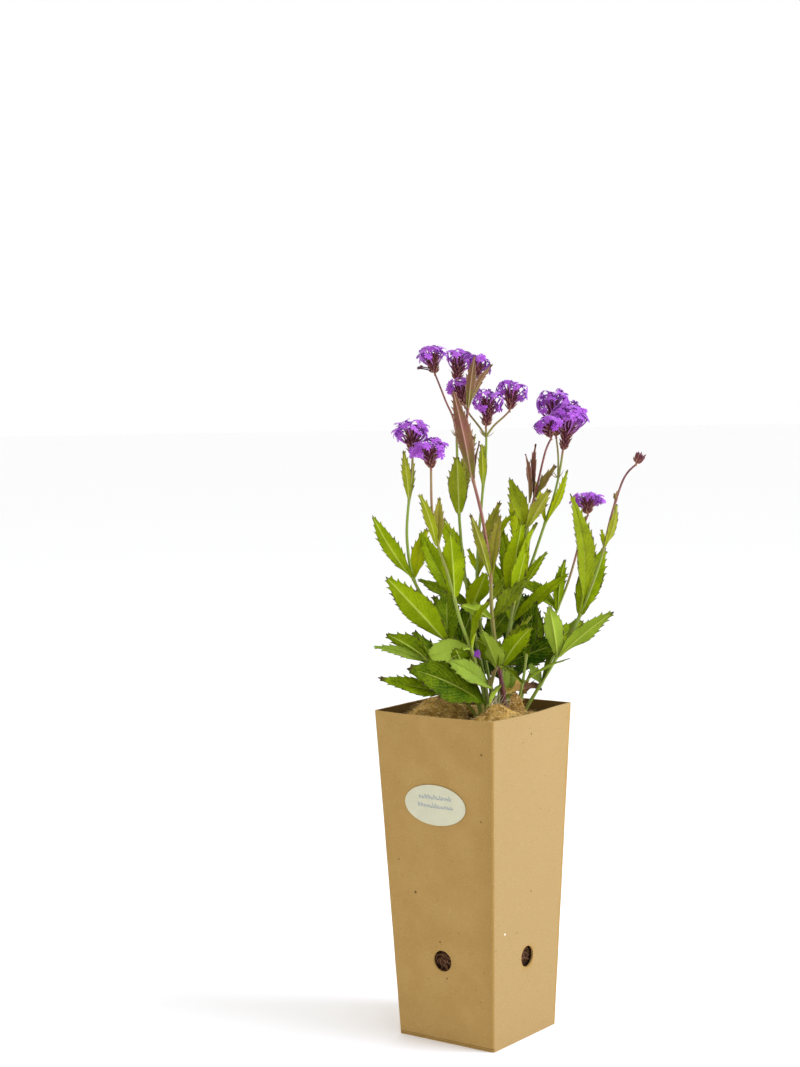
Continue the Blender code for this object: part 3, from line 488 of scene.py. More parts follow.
def addLeaf(growth, root, stemRadius, leaf, seed, look):
    draw, own = random.Random(seed), random.Random(seed + 7000)
    arch = math.radians(draw.uniform(*leafLook["arch"]))
    fold = math.radians(draw.uniform(*leafLook["fold"])) + math.radians(look.get("fold", 0))
    lift = draw.uniform(-leafLook["rootStep"], leafLook["rootStep"])
    arch += math.radians(look.get("arch", 0))
    compass, rise, length, width, roll = leaf[:5]
    compass, rise, roll = math.radians(compass), math.radians(rise), math.radians(roll)
    length, width = length * mm, width * mm
    outward, sideways = circleWay(compass), Vector((-math.sin(compass), math.cos(compass), 0))
    root = root + outward * stemRadius * leafLook["rootOffset"] + up * lift
    start = rise + arch / 2
    teeth = max(3, round(length * 0.8 / leafLook["toothSpacing"]))
    stations, toothStep = leafStations(teeth)
    waveTurns, wavePhase = own.uniform(1.5, 2.8), own.uniform(0, 6.28)
    size = min(1.0, width / leafLook["usualWidth"])
    toothDraw = [[own.uniform(0.1, 1.4) for _ in range(teeth + 1)] for _ in range(2)]
    veinLean = leafLook["veinLean"] * width / length / toothStep

    # The blade's middle line, its side and its upper face at a share of its length
    def frameAt(share):
        slope = start - arch * share
        middle = root + length / arch * (outward * (math.sin(start) - math.sin(slope))
                                         + up * (math.cos(slope) - math.cos(start)))
        face = outward * -math.sin(slope) + up * math.cos(slope)
        turn = roll * min(1, 0.3 + 1.6 * share)
        side = sideways * math.cos(turn) + face * math.sin(turn)
        return middle, side, face * math.cos(turn) - sideways * math.sin(turn)

    grid, veins = [], []
    for share, reach, lean in stations:
        narrow = max(width / 2 * halfWidth(min(share, 0.999)), 0.0001)
        if share < 0.02:
            narrow *= 0.6 + 20 * share
        fromBare = (share - leafLook["bareShare"]) / toothStep
        number = min(teeth, max(0, int(fromBare)))
        row = []
        for column in columns:
            t = abs(column)
            hand = 0 if column < 0 else 1
            tooth = reach * leafLook["toothHeight"] * toothDraw[hand][number] * (0.35 + 0.65 * size)
            across = narrow * t + tooth * t ** 9
            middle, side, above = frameAt(min(share + lean * t ** 9, 1.0))
            vein = fromBare - 0.86 - veinLean * (t - 1)
            rib = leafLook["pucker"] * size * 4 * t * (1 - t) * (0.5 - 0.5 * math.cos(fullTurn * vein))
            wave = math.sin(fullTurn * waveTurns * share + wavePhase + hand) * t * t
            wave *= leafLook["wave"] * look.get("wave", 1) * size
            curl = -leafLook["curl"] * width * t * t
            groove = -leafLook["groove"] * size * max(0, 1 - t / 0.1)
            height = math.sin(fold) * across + rib + wave + curl + groove
            sign = 1 if column > 0 else -1
            row.append(middle + side * sign * math.cos(fold) * across + above * height)
            veins.append(vein)
        grid.append(row)

    middles = np.array(grid)
    normal = np.cross(np.gradient(middles, axis=0), np.gradient(middles, axis=1))
    normal /= np.linalg.norm(normal, axis=2, keepdims=True) + 1e-12
    t = np.abs(np.array(columns))[None, :, None]
    share = np.array([s[0] for s in stations])[:, None, None]
    thick = leafLook["thickness"] + (leafLook["edgeThickness"] - leafLook["thickness"]) * t
    keel = leafLook["keel"] * size * np.clip(1 - t / 0.12, 0, 1) * (1 - 0.8 * share)
    top = [Vector(p) for p in (middles + normal * thick / 2).reshape(-1, 3)]
    low = [Vector(p) for p in (middles - normal * (thick / 2 + keel)).reshape(-1, 3)]
    rows, wide = len(grid), len(columns)
    faces = [quad[::-1] for quad in quadRows(rows, wide, False)]
    risen = max(0, min(1, (root.z / mm - leafLook["toneFrom"]) / leafLook["toneOver"]))
    spread = leafLook["toneSpread"]
    tone = look.get("tone", 0) + leafLook["tone"] + leafLook["toneRise"] * risen
    tone += own.uniform(-spread, spread)
    addSheet(growth, top, low, faces, slot=3 if look.get("withered") else 0,
             along=[s[0] for s in stations for _ in columns] * 2, across=list(columns) * rows * 2,
             vein=veins * 2, under=[0.0] * len(top) + [1.0] * len(low), tone=tone,
             flush=look.get("flush", 0.0), pale=look.get("pale", 0.0))


def addHair(growth, root, way, length, radius, slot):
    side = way.orthogonal().normalized() * radius
    other = way.cross(side).normalized() * radius
    points = [root + side, root - side * 0.5 + other, root - side * 0.5 - other, root + way * length]
    addShape(growth, points, [(0, 2, 1), (0, 1, 3), (1, 2, 3), (2, 0, 3)], slot)


def flushAt(steps, height):
    if height <= steps[0][0]:
        return steps[0][1]
    for (lowAt, low), (highAt, high) in zip(steps, steps[1:]):
        if height <= highAt:
            return low + (high - low) * (height - lowAt) / (highAt - lowAt)
    return steps[-1][1]


def leafyStem(name, plan, seed, materials):
    look = stemLook
    growth = newGrowth()
    draw = random.Random(seed + 9000)
    footRadius, tipRadius = (r * mm for r in plan["radii"])
    x, y, z = plan["path"][0]
    line = relax(smoothPath([(x, y, plantFoot / mm), (x, y, z - 6)] + plan["path"], look["spacing"]))
    joints = [height * mm for height, *_ in plan["leaves"]]
    steps = plan.get("flush", look["usualFlush"])

    def stemTube(line, footRadius, tipRadius):
        radii, flush = [], []
        for i, point in enumerate(line):
            share = i / (len(line) - 1)
            near = max((math.exp(-((point.z - j) / look["jointLength"]) ** 2) for j in joints), default=0)
            radius = look["radiusShare"] * (footRadius + (tipRadius - footRadius) * share)
            radii.append(radius * (1 + (look["joint"] - 1) * near))
            flush.append(flushAt(steps, point.z / mm))
        sweep(growth, line, radii, look["sides"], 1, look["ridge"], flush=flush)
        for a, b, radius in zip(line, line[1:], radii):
            if a.z < surfaceLevel:
                continue
            ahead = (b - a).normalized()
            for _ in range(look["hairsEach"]):
                way = ahead.orthogonal().normalized()
                way.rotate(Matrix.Rotation(draw.uniform(0, 6.28), 3, ahead))
                hair = (way + ahead * draw.uniform(-0.2, 0.5)).normalized()
                reach = look["hairLength"] * draw.uniform(0.5, 1.2)
                spot = a.lerp(b, draw.random()) + way * radius * 0.9
                addHair(growth, spot, hair, reach, look["hairRadius"], 2)

    stemTube(line, footRadius, tipRadius)
    for stalk in plan.get("stalks", []):
        stemTube(relax(smoothPath(stalk, look["stalkSpacing"])), tipRadius, tipRadius * look["stalkTaper"])
        fork = Vector(stalk[0]) * mm
        near, far, lift = look["whisker"]
        for _ in range(look["whiskers"]):
            way = circleWay(draw.uniform(0, 6.28), draw.uniform(0.1, 0.7)).normalized()
            whisker = curve(fork, fork + way * near, fork + way * far + up * lift, 5)
            sweep(growth, whisker, look["whiskerRadii"], 5, 1, flat=0.5, flush=0.4)
    for height, *leaves in plan["leaves"]:
        joint = pointAtHeight(line, height * mm)
        for leaf in leaves:
            seed += 1
            own = dict(*leaf[5:])
            root = Vector(own["root"]) * mm if "root" in own else joint
            addLeaf(growth, root, tipRadius, leaf, seed, own)
    makePiece(name.title().replace("_", ""), growth, materials, name)


# Flower heads. viewSide: where the florets have left a gap in most heads

viewSide = Vector((0.596, -0.803, 0))

# In millimetres: foot, top, width across the crown and how far the crown is sunk below the top.
# florets: per millimetre of its radius. lowest: where the lowest stand (1 top, -1 bottom).
# front: how near to viewSide the gap begins (1 at it). gapTop: how high it reaches
usualHead = dict(width=20, hair=1.0, florets=3.3, lowest=-0.30, front=0.55, gapTop=0.36, sunk=1.3)
heads = {
    "head_1": dict(foot=(-13, -43, 368), top=(-12, -45, 391), width=23.5, lowest=-0.5),
    "head_2": dict(foot=(5, -49, 360), top=(5, -52, 379), width=24.5, lowest=-0.45, front=0.7),
    "head_3": dict(foot=(-38, 17, 418), top=(-41, 16, 437), florets=2.7, lowest=-0.2),
    "head_4": dict(foot=(-20, 15, 413), top=(-18, 17, 434), width=19.5, florets=2.7, lowest=-0.15,
                   hair=2.0, sunk=0.7),
    "head_5": dict(foot=(6, -8, 413), top=(10, 1, 429), width=19.5, florets=2.8, lowest=-0.2),
    "head_6": dict(foot=(-6, 4, 397), top=(-11, 2, 416), width=18, florets=2.9, lowest=-0.35),
    "head_7": dict(foot=(5, 11, 384), top=(8, 11, 409), width=22, florets=2.7, hair=1.3, lowest=-0.6),
    "head_8": dict(foot=(15, 23, 394), top=(16, 27, 413), width=22, florets=2.7, lowest=-0.65, sunk=0.7),
    "head_9": dict(foot=(18, 73, 376), top=(14, 75, 407), width=24.5, florets=3.8, lowest=-0.4,
                   front=0.8, sunk=0.9),
    "head_10": dict(foot=(26, 68, 367), top=(33, 70, 398), width=26, florets=4.2, lowest=0.05,
                    hair=1.2, front=1.1, sunk=0.2),
    "head_11": dict(foot=(35, 40, 376), top=(33, 36, 390), width=18, lowest=-0.6, front=0.8),
    "head_12": dict(foot=(42, 72, 326), top=(41, 73, 341), width=23),
}
bud = dict(foot=(87.2, 56, 359.5), top=(90.6, 59, 369), share=0.5,
           look=dict(hair=0.6, flare=0.2, every=0.62, reachShare=0.85))

headLook = dict(
    footRadius=0.0008, spikeRadius=0.0030, coreShare=0.8, gap=0.0008, calyxEvery=0.00027, calyxLength=0.0046,
    calyxWidth=0.00046, bracts=6, hairsEach=3, hairLength=0.0014, hairRadius=0.000035,
    hairColors=((0.17, 0.09, 0.085), (0.36, 0.24, 0.22)),
    floretSize=0.0029, tubeRadius=0.0004, throatRadius=0.0006, petalThickness=0.00016, petalDroop=0.30,
    highest=0.93, domeShare=0.40, flatness=0.86, spikeInDome=0.88, upward=0.42, spread=0.62, scatter=0.14,
    missing=0.88, sleeve=0.7, sag=0.18, throatDepth=0.0002, dome=0.0003, bract=(0.0016, 0.0026, 0.0014),
    bractRadii=(0.00045, 0.00045, 0.0003, 0.00006), leanLow=44, leanTop=30,
    petalDark=(0.225, 0.030, 0.365), petalMid=(0.335, 0.048, 0.495), petalLight=(0.52, 0.14, 0.70),
    tube=(0.34, 0.095, 0.27), throat=(0.18, 0.028, 0.28),
    calyxDark=(0.085, 0.017, 0.040), calyxMaroon=(0.17, 0.040, 0.052), calyxBrown=(0.31, 0.155, 0.085))

# One lobe of a floret as (angle from its middle, reach): two round ends with a notch between
lobeOutline = ((-36, 0.22), (-29, 0.52), (-23, 0.86), (-14, 1.0), (-6, 0.92), (0, 0.68),
               (6, 0.92), (14, 1.0), (23, 0.86), (29, 0.52))


def petalMaterial():
    look = headLook
    material, shader, place = newMaterial("violetPetal", 0.55, 0.2)
    color = ramp(plus(tag(shader, "tone"), sway(grain(place, 420, 2), 0.15)),
                 [(0.0, look["petalDark"]), (0.5, look["petalMid"]), (1.0, look["petalLight"])])
    color = blend(between(tag(shader, "along"), 0.5, 0.0), color, look["tube"])
    color = blend(times(tag(shader, "pale"), 0.7), color, look["throat"])
    setSurface(shader, color, grain(place, 1500, 2), 0.2, 0.0002)
    shader.inputs["Sheen Weight"].default_value = 0.25
    return material


def calyxMaterial():
    look = headLook
    material, shader, place = newMaterial("maroonCalyx", 0.7, 0.2)
    color = ramp(plus(tag(shader, "tone"), sway(grain(place, 700, 3), 0.2)),
                 [(0.0, look["calyxDark"]), (0.55, look["calyxMaroon"]), (1.0, look["calyxBrown"])])
    setSurface(shader, color, grain(place, 1800, 3), 0.5, 0.0003)
    return material


def headFrame(plan):
    foot, top = Vector(plan["foot"]) * mm, Vector(plan["top"]) * mm
    axis = (top - foot).normalized()
    return foot + axis * headLook["gap"], (top - foot).length, axis.to_track_quat("Z", "Y").to_matrix()


def spikeRadius(share):
    low, high = headLook["footRadius"], headLook["spikeRadius"]
    return low + (high - low) * math.sin(math.pi * 0.5 * share ** 0.7)


def addCalyx(growth, start, out, axis, lean, reach, tone, draw, hair):
    bend = start + (out * math.sin(lean * 1.4) + axis * math.cos(lean * 1.4)) * reach * 0.5
    tip = bend + (out * math.sin(lean * 0.7) + axis * math.cos(lean * 0.7)) * reach * 0.5
    line = curve(start, bend, tip, 5)
    width = headLook["calyxWidth"]
    sweep(growth, line, [width * r for r in (0.8, 1.15, 1.1, 0.75, 0.12)], 6, tone=tone)
    for _ in range(headLook["hairsEach"]):
        spot = line[draw.randint(1, 4)]
        way = (out + axis * draw.uniform(-0.1, 0.9) + out.cross(axis) * draw.uniform(-0.6, 0.6)).normalized()
        far = headLook["hairLength"] * hair * draw.uniform(0.6, 1.2)
        addHair(growth, spot + out * width * 0.5, way, far, headLook["hairRadius"], 1)


# A core set with calyces in a spiral, and bracts at its foot
def calyxSpike(growth, foot, turn, length, draw, hair=1.0, flare=1.0, every=1.0, reachShare=1.0):
    look = headLook
    axis = turn @ up
    near, far, lift = look["bract"]
    core = [foot - axis * look["gap"] * 2.2] + [foot + axis * length * i / 12 for i in range(13)]
    radii = [look["footRadius"]] + [spikeRadius(i / 12) * look["coreShare"] for i in range(13)]
    sweep(growth, core, radii, 10, tone=[0.95, 0.9, 0.7] + [0.2] * 11)
    count = round(length / look["calyxEvery"] / every)
    for i in range(count):
        share = (i + 0.5) / count
        out = turn @ circleWay(i * goldenAngle + draw.uniform(-0.15, 0.15))
        start = foot + axis * length * share * 0.92 + out * spikeRadius(share) * 0.7
        reach = look["calyxLength"] * reachShare * draw.uniform(0.8, 1.1) * (1 - 0.2 * share)
        lean = look["leanLow"] * (1 - share) + look["leanTop"] * flare * share + draw.uniform(-9, 9)
        tone = 0.8 - 0.55 * share + draw.uniform(-0.25, 0.25)
        addCalyx(growth, start, out, axis, math.radians(lean), reach, tone, draw, hair)
    for i in range(look["bracts"]):
        way = (turn @ circleWay(i * goldenAngle) + axis * draw.uniform(0.2, 0.9)).normalized()
        line = curve(foot, foot + way * near, foot + way * far + axis * lift, 4)
        sweep(growth, line, look["bractRadii"], 5, tone=1.0, flat=0.5)


# A bent tube from the spike and five notched lobes round its throat
def addFloret(growth, start, centre, facing, size, draw, shift=0.0):
    side = facing.orthogonal().normalized()
    other = facing.cross(side)
    half = start.lerp(centre, 0.5)
    sag = (half - start).cross((centre - start).cross(facing)).normalized()
    bend = half - (centre - start).length * headLook["sag"] * sag
    tone = draw.uniform(0.25, 0.85) + shift
    line = curve(start, bend, centre - facing * headLook["throatDepth"], 6)
    tube, throat = headLook["tubeRadius"], headLook["throatRadius"]
    radii = [tube * 0.8, tube, tube, tube * 1.05, tube * 1.25, throat]
    sweep(growth, line, radii, 6, along=[0.0, 0.1, 0.2, 0.3, 0.4, 0.5], tone=tone - 0.2)
    spin = draw.uniform(0, math.radians(72))
    outline = []
    for lobe in range(5):
        stretch, droop = draw.uniform(0.9, 1.1), draw.uniform(-0.5, 1.7) * headLook["petalDroop"]
        outline += [(spin + math.radians(72 * lobe + angle * 1.05), reach * stretch * size, droop)
                    for angle, reach in lobeOutline]
    inner = 0.16
    rings = []
    for share in (inner, 0.55, 0.85, 1.0):
        for angle, reach, droop in outline:
            far = throat * 0.6 + (reach - throat * 0.6) * (share - inner) / (1 - inner)
            height = headLook["dome"] * math.sin(math.pi * min(1, far / size))
            height -= droop * size * (far / size) ** 2 * 0.5
            rings.append(centre + (side * math.cos(angle) + other * math.sin(angle)) * far + facing * height)
    wide = len(outline)
    below = [p - facing * headLook["petalThickness"] for p in rings]
    pale = ([1.0] * wide + [0.25] * wide + [0.0] * 2 * wide) * 2
    addDisc(growth, rings, below, wide, along=1.0, tone=tone, pale=pale)


# Florets in a spiral over a dome, each in a calyx sleeve that starts at the spike
def crown(petals, spike, foot, turn, length, plan, draw, spikeLength):
    look = headLook
    axis = turn @ up
    size = look["floretSize"]
    radius = plan["width"] * mm / 2 - size * 0.35
    rise = min(radius, length * look["domeShare"]) * look["flatness"]
    centre = foot + axis * (length - rise - plan["sunk"] * mm)
    count = round(radius / mm * plan["florets"])
    for i in range(count):
        level = look["highest"] - (look["highest"] - plan["lowest"]) * (i + 0.5) / count
        flatReach = math.sqrt(max(0, 1 - level * level))
        out = circleWay(i * goldenAngle) * flatReach + up * level
        out = (out + jitter(draw, look["scatter"])).normalized()
        outward = turn @ Vector((out.x, out.y, 0)).normalized()
        inFront = outward.dot(viewSide) * flatReach > plan["front"]
        if inFront and level < plan["gapTop"] and draw.random() < look["missing"]:
            continue
        onDome = turn @ Vector((out.x * radius, out.y * radius, out.z * rise))
        place = centre + onDome * draw.uniform(0.84, 1.05)
        facing = turn @ (out + up * look["upward"] + jitter(draw, look["spread"])).normalized()
        start = foot + axis * spikeLength * (0.42 + 0.55 * max(0, level)) + outward * spikeRadius(0.8) * 0.9
        addFloret(petals, start, place, facing, size * draw.uniform(0.85, 1.12), draw)
        far = (place - start).normalized()
        reach = min(look["calyxLength"] * look["sleeve"], (place - start).length * 0.34)
        sleeve = [start + far * reach * i / 4 for i in range(5)]
        radii = [look["calyxWidth"] * r for r in (0.7, 1.0, 1.1, 0.95, 0.7)]
        sweep(spike, sleeve, radii, 6, tone=draw.uniform(0.3, 0.75))


def flowerHead(name, plan, seed, calyxMaterials, petal):
    foot, length, turn = headFrame(plan)
    plan = {**usualHead, **plan}
    draw = random.Random(seed)
    rise = min(plan["width"] * mm / 2 - headLook["floretSize"] * 0.6, length * headLook["domeShare"])
    spikeLength = length - rise * headLook["spikeInDome"]
    spike, petals = newGrowth(), newGrowth()
    calyxSpike(spike, foot, turn, spikeLength, draw, plan["hair"])
    crown(petals, spike, foot, turn, length, plan, draw, spikeLength)
    label = name.title().replace("_", "")
    makePiece(label + "Calyx", spike, calyxMaterials, name + "_calyx")
    makePiece(label + "Florets", petals, [petal], name + "_florets")


# Pot of brown board

potLook = dict(
    top=0.090, base=0.0716, height=0.208, board=0.0012, corner=0.0016, floor=0.0015, foldTop=0.006,
    sideSteps=24, cornerSteps=4, rows=22, holeHeight=0.0527, holeRadius=0.0067,
    bowFront=0.0024, bowRight=0.0019, bowBack=0.0012, bowFrom=0.45, rimDip=0.0002, rimNicks=0.0001,
    rimEdge=0.0004, ragged=0.00025, sharpest=0.0004,
    # board1 and board2 are the board's own colours; the third is painted light, the tint of the right face
    # where the key lamp falls
    board1=(0.402, 0.250, 0.080), board2=(0.372, 0.225, 0.067), litFace=(0.392, 0.260, 0.104),
    # crease is painted shade on the front face towards its corner; inside is painted shade inside the walls,
    # with some soil staining
    crease=(0.330, 0.195, 0.052), inside=(0.105, 0.060, 0.014), dark=(0.10, 0.05, 0.02),
    pale=(0.72, 0.56, 0.34),
    specks=((-18.6, -40, 94.4, 1.1), (40, 2.4, 94, 0.7), (46.1, -4.4, 194.9, 0.8), (-30.5, -40.8, 114.1, 0.7),
            (-1.3, -38.7, 64.8, 0.7), (2.9, -37.7, 42.1, 0.7), (35.8, -44.6, 186.8, 0.8),
            (33.4, -42.3, 145.1, 0.7)),
    paleSpeck=(39, -26, 72.6, 1.0), fleck=(0.78, 0.70, 0.58))

# Two folded layers show under the wall on the label side: height and how far the face is set back
baseSteps = ((0.0, 0.0004), (0.0009, 0.0003), (0.00095, 0.0010), (0.0011, 0.0010), (0.00115, 0.0003),
             (0.0020, 0.0003), (0.00205, 0.0011), (0.0023, 0.0011), (0.00235, 0.0))

# Sides of the pot in order: front, right, back, left
sideNormals = [Vector(way) for way in ((0, -1), (1, 0), (0, 1), (-1, 0))]


def wallHalf(height):
    return (potLook["base"] + (potLook["top"] - potLook["base"]) * height / potLook["height"]) / 2


# A square loop with round corners: points and, for each, its side and how far along it is, from -1 to 1
def squareLoop(half, corner, steps=potLook["sideSteps"]):
    loop = []
    flat = half - corner
    for side in range(4):
        turn = Matrix.Rotation(side * math.pi / 2, 2)
        for i in range(steps):
            along = -1 + 2 * i / steps
            loop.append((turn @ Vector((along * flat, -half)), side, along))
        for i in range(potLook["cornerSteps"]):
            angle = -math.pi / 2 + math.pi / 2 * i / potLook["cornerSteps"]
            spot = Vector((flat + corner * math.cos(angle), -flat + corner * math.sin(angle)))
            loop.append((turn @ spot, side, 1.0))
    return loop


# How far a wall bulges outward
def wallBow(side, along, height):
    share = max(0, height / potLook["height"] - potLook["bowFrom"]) / (1 - potLook["bowFrom"])
    middle = 1 - along * along
    if side == 0:
        return potLook["bowFront"] * share ** 2 * middle
    if side == 1:
        return potLook["bowRight"] * share ** 2 * math.sin(math.pi * (along + 1) / 2 * 1.25) * middle * 1.2
    return potLook["bowBack"] * share ** 2 * middle


def wallRow(height, inward, grooves=True):
    row = []
    corner = max(potLook["sharpest"], potLook["corner"] - inward)
    for spot, side, along in squareLoop(wallHalf(height) - inward, corner):
        out = wallBow(side, along, height) if abs(along) < 1 else 0
        back = 0
        if grooves and side in (0, 2) and height <= baseSteps[-1][0]:
            back = next(step for level, step in baseSteps if height <= level)
        spot = spot + sideNormals[side] * (out - back)
        rough = noise.noise(Vector((spot.x, spot.y, height)) * 60) * potLook["ragged"]
        spot += sideNormals[side] * rough * 0.6
        dip = 0
        if height > potLook["height"] - 1e-6:
            fine = noise.noise(Vector((spot.x, spot.y, 0)) * 400)
            dip = -potLook["rimDip"] * (1 - along * along) - potLook["rimNicks"] * (1 + fine)
        row.append(Vector((spot.x, spot.y, height + dip)))
    return row


def boardMaterial():
    look = potLook
    material, shader, place = newMaterial("brownBoard", 0.88, 0.15)
    color = blend(between(grain(place, 60, 4), 0.3, 0.7), look["board1"], look["board2"])
    # painted light: the right face gets a paler, bluer tint where the key lamp falls on it
    color = blend(times(tag(shader, "pale"), 0.9), color, look["litFace"])
    # painted shade: the front face darkens towards its corner with the right face
    color = blend(tag(shader, "tone"), color, look["crease"])
    for scale, low, high, shade, amount in ((1100, 0.63, 0.72, look["dark"], 0.22),
                                            (1500, 0.60, 0.70, look["pale"], 0.18),
                                            (450, 0.70, 0.76, look["dark"], 0.35)):
        fleck = between(grain(place, scale, 2, (0.6, 0.6, 1.2)), low, high)
        color = blend(times(fleck, amount), color, shade)
    wobble = between(grain(place, 1500, 2), 0.3, 0.7, 0.7, 1.3)
    for x, y, z, radius in look["specks"] + (look["paleSpeck"],):
        apart = addNode(place, "ShaderNodeVectorMath", {0: place, 1: (x * mm, y * mm, z * mm)},
                        operation="DISTANCE").outputs["Value"]
        spot = between(times(apart, wobble), radius * mm, radius * mm * 0.6)
        shade = look["fleck"] if (x, y, z, radius) == look["paleSpeck"] else look["dark"]
        color = blend(times(spot, 0.9), color, shade)
    # painted shade: the inside of the walls is darkened where the pot shades it, with some soil staining
    color = blend(times(tag(shader, "under"), 0.85), color, look["inside"])
    setSurface(shader, color, grain(place, 1600, 4), 0.35, 0.0002)
    return material


# Walls and base in one loop of rows: up the outside, over the rim and down the inside
def pot(material):
    look = potLook
    growth = newGrowth()
    top, rise, count = look["height"], look["height"] - look["foldTop"], look["rows"]
    levels = [level for level, _ in baseSteps] + [look["foldTop"] + rise * i / count for i in range(count + 1)]
    inside = [top, top - look["rimEdge"]]
    inside += [look["floor"] + (top - look["floor"]) * (count - 1 - i) / count for i in range(count)]
    rows = [wallRow(level, 0) for level in levels] + [wallRow(level, look["board"], False) for level in inside]
    wide = len(rows[0])
    loop = squareLoop(1.0, 0.02)
    # under marks the inside rows, which get painted shade
    shade = [0.0 if r < len(levels) + 1 else 1.0 for r in range(len(rows)) for _ in range(wide)]
    # pale marks the right face for its painted light
    litFace = [1.0 if side == 1 and along < 1 else 0.0 for _, side, along in loop] * len(rows)
    # tone carries the front face's painted shade, stronger towards its corner
    crease = [0.6 * max(0, (along - 0.55) / 0.45) ** 2 if side == 0 else 0.0 for _, side, along in loop]
    addShape(growth, [p for row in rows for p in row], tubeFaces(len(rows), wide), under=shade, pale=litFace,
             tone=crease * len(rows))
    body = makePiece("CardPot", growth, [material], "pot", 30)
    for turn in (0, math.pi / 2):
        cutter = newGrowth()
        way = Vector((math.sin(turn), math.cos(turn), 0)) * top * 0.3
        centre = up * look["holeHeight"]
        sweep(cutter, [centre - way, centre + way], [look["holeRadius"]] * 2, 40)
        tool = newObject("holeCutter", newMesh("holeCutter", cutter))
        cut = body.modifiers.new("hole", "BOOLEAN")
        cut.operation, cut.object, cut.solver = "DIFFERENCE", tool, "EXACT"
        body.data = bpy.data.meshes.new_from_object(body.evaluated_get(bpy.context.evaluated_depsgraph_get()))
        body.modifiers.clear()
        bpy.data.objects.remove(tool)
    body.data.set_sharp_from_angle(angle=math.radians(30))


# Oval label with two rows of plain strokes

labelLook = dict(
    height=0.152, length=0.0457, width=0.0256, thickness=0.0003, gap=0.0003, rings=8, sides=72,
    paper=(0.585, 0.565, 0.40), ink=(0.20, 0.25, 0.32), rows=((0.0052, 11), (-0.0002, 12)), indent=0.0006,
    strokeHeight=0.0030, stroke=0.00042, letter=0.0015, space=0.00075, raised=0.00003)


def labelPoint(across, rise, lift):
    height = labelLook["height"] + rise
    out = wallHalf(height) + wallBow(0, across / wallHalf(height), height) + labelLook["gap"] + lift
    return Vector((across, -out, height))


# One thin raised box of print on the label
def addStroke(growth, left, low, wide, high):
    corners = [(left, low), (left + wide, low), (left + wide, low + high), (left, low + high)]
    face, raised = labelLook["thickness"], labelLook["raised"]
    front = [labelPoint(x, y, face + raised) for x, y in corners]
    back = [labelPoint(x, y, face - raised) for x, y in corners]
    addShape(growth, front + back, [(0, 1, 2, 3), (4, 7, 6, 5), (0, 4, 5, 1), (1, 5, 6, 2), (2, 6, 7, 3),
                                    (3, 7, 4, 0)], 1)


def ovalLabel():
    look = labelLook
    growth = newGrowth()
    rings, wide = look["rings"], look["sides"]
    front, back = [[labelPoint(math.cos(fullTurn * k / wide) * look["length"] / 2 * r / rings,
                               math.sin(fullTurn * k / wide) * look["width"] / 2 * r / rings, lift)
                    for r in range(1, rings + 1) for k in range(wide)] for lift in (look["thickness"], 0.0)]
    addDisc(growth, front, back, wide)
    draw = random.Random(3)
    stroke, letter = look["stroke"], look["letter"]
    for rise, letters in look["rows"]:
        for i in range(letters):
            across = (i - letters / 2) * (letter + look["space"]) + look["indent"]
            tall = look["strokeHeight"] * draw.choice((0.65, 0.65, 1.0))
            parts = [(0, 0, stroke, tall), (letter - stroke, 0, stroke, tall * 0.65)]
            parts += draw.sample([(0, tall * 0.55, letter, stroke), (0, 0, letter, stroke)], 1)
            for left, low, width, high in parts:
                addStroke(growth, across + left, rise - look["strokeHeight"] / 2 + low, width, high)
    paper = plainMaterial("creamPaper", look["paper"], tuple(0.94 * c for c in look["paper"]), 120, 0.6, 0.15)
    ink = plainMaterial("greyInk", look["ink"], look["ink"], 300, 0.6, 0.1)
    makePiece("OvalLabel", growth, [paper, ink], "oval_label", 45)


# Root ball and felt

groundLook = dict(
    level=0.200, thickness=0.003, wall=0.0015, feltGap=0.0012, soilGap=0.0006, cells=150,
    slitCentre=(0.0140, 0.0095), slitLength=0.0205, slitWidth=0.0150, slitTurn=math.radians(70),
    slitRagged=0.22,
    humps=((-0.024, -0.014, 0.0060, 0.012), (0.029, -0.014, 0.0055, 0.011), (0.024, -0.010, 0.0035, 0.005),
           (-0.012, 0.028, 0.0030, 0.012), (0.034, 0.034, 0.0020, 0.010)),
    mounds=((-0.0184, -0.0037, 0.0072, 0.0165, 0.013), (0.0264, -0.0053, 0.0046, 0.016, 0.008),
            (-0.041, -0.036, -0.0030, 0.010, 0.010)), moundTurn=math.radians(36.6),
    cutFrom=(-0.0046, 0.0028), cutTo=(0.0067, -0.0124), cutHalf=0.0019, creaseDepth=0.007, creaseWidth=0.0026,
    lumps=0.0010, fuzz=0.0005, fibres=3600, fibreRadius=0.00006, fibreLength=(0.002, 0.007), nearWall=0.009,
    ragFoot=(0.0303, 0.0040, 0.2055), ragLength=0.0145, ragHeight=0.0130, ragThickness=0.0012, ragFibres=150,
    ragCells=(26, 14), ragFibreLength=(0.002, 0.005), ragBulge=0.0025,
    wisps=16, wispFoot=(0.0195, -0.006, 0.2085), wispSpread=(0.003, 0.004), wispLength=(0.007, 0.015),
    wispRadius=0.00013,
    felt=(0.53, 0.325, 0.085), feltDark=(0.25, 0.135, 0.022), feltPale=(0.74, 0.54, 0.25),
    fleck=(0.03, 0.015, 0.008), feltShade=(0.060, 0.045, 0.008), fibreTip=(0.78, 0.68, 0.52),
    soil=(0.030, 0.013, 0.006), soilBrown=(0.105, 0.048, 0.022), root=(0.27, 0.125, 0.055),
    soilRows=60, soilRings=40, soilSteps=36, soilCorner=0.004, soilInset=0.0006, soilFoot=0.0003,
    crumbs=0.0007, topCrumbs=0.0012, topDrop=0.0012, fibreSunk=0.0002, slitFibres=0.25, ragRipple=0.0006,
    rootInset=0.0008, roots=26, rootPoints=9, rootStep=0.0016, rootRadius=0.00016, rootSpread=0.008)


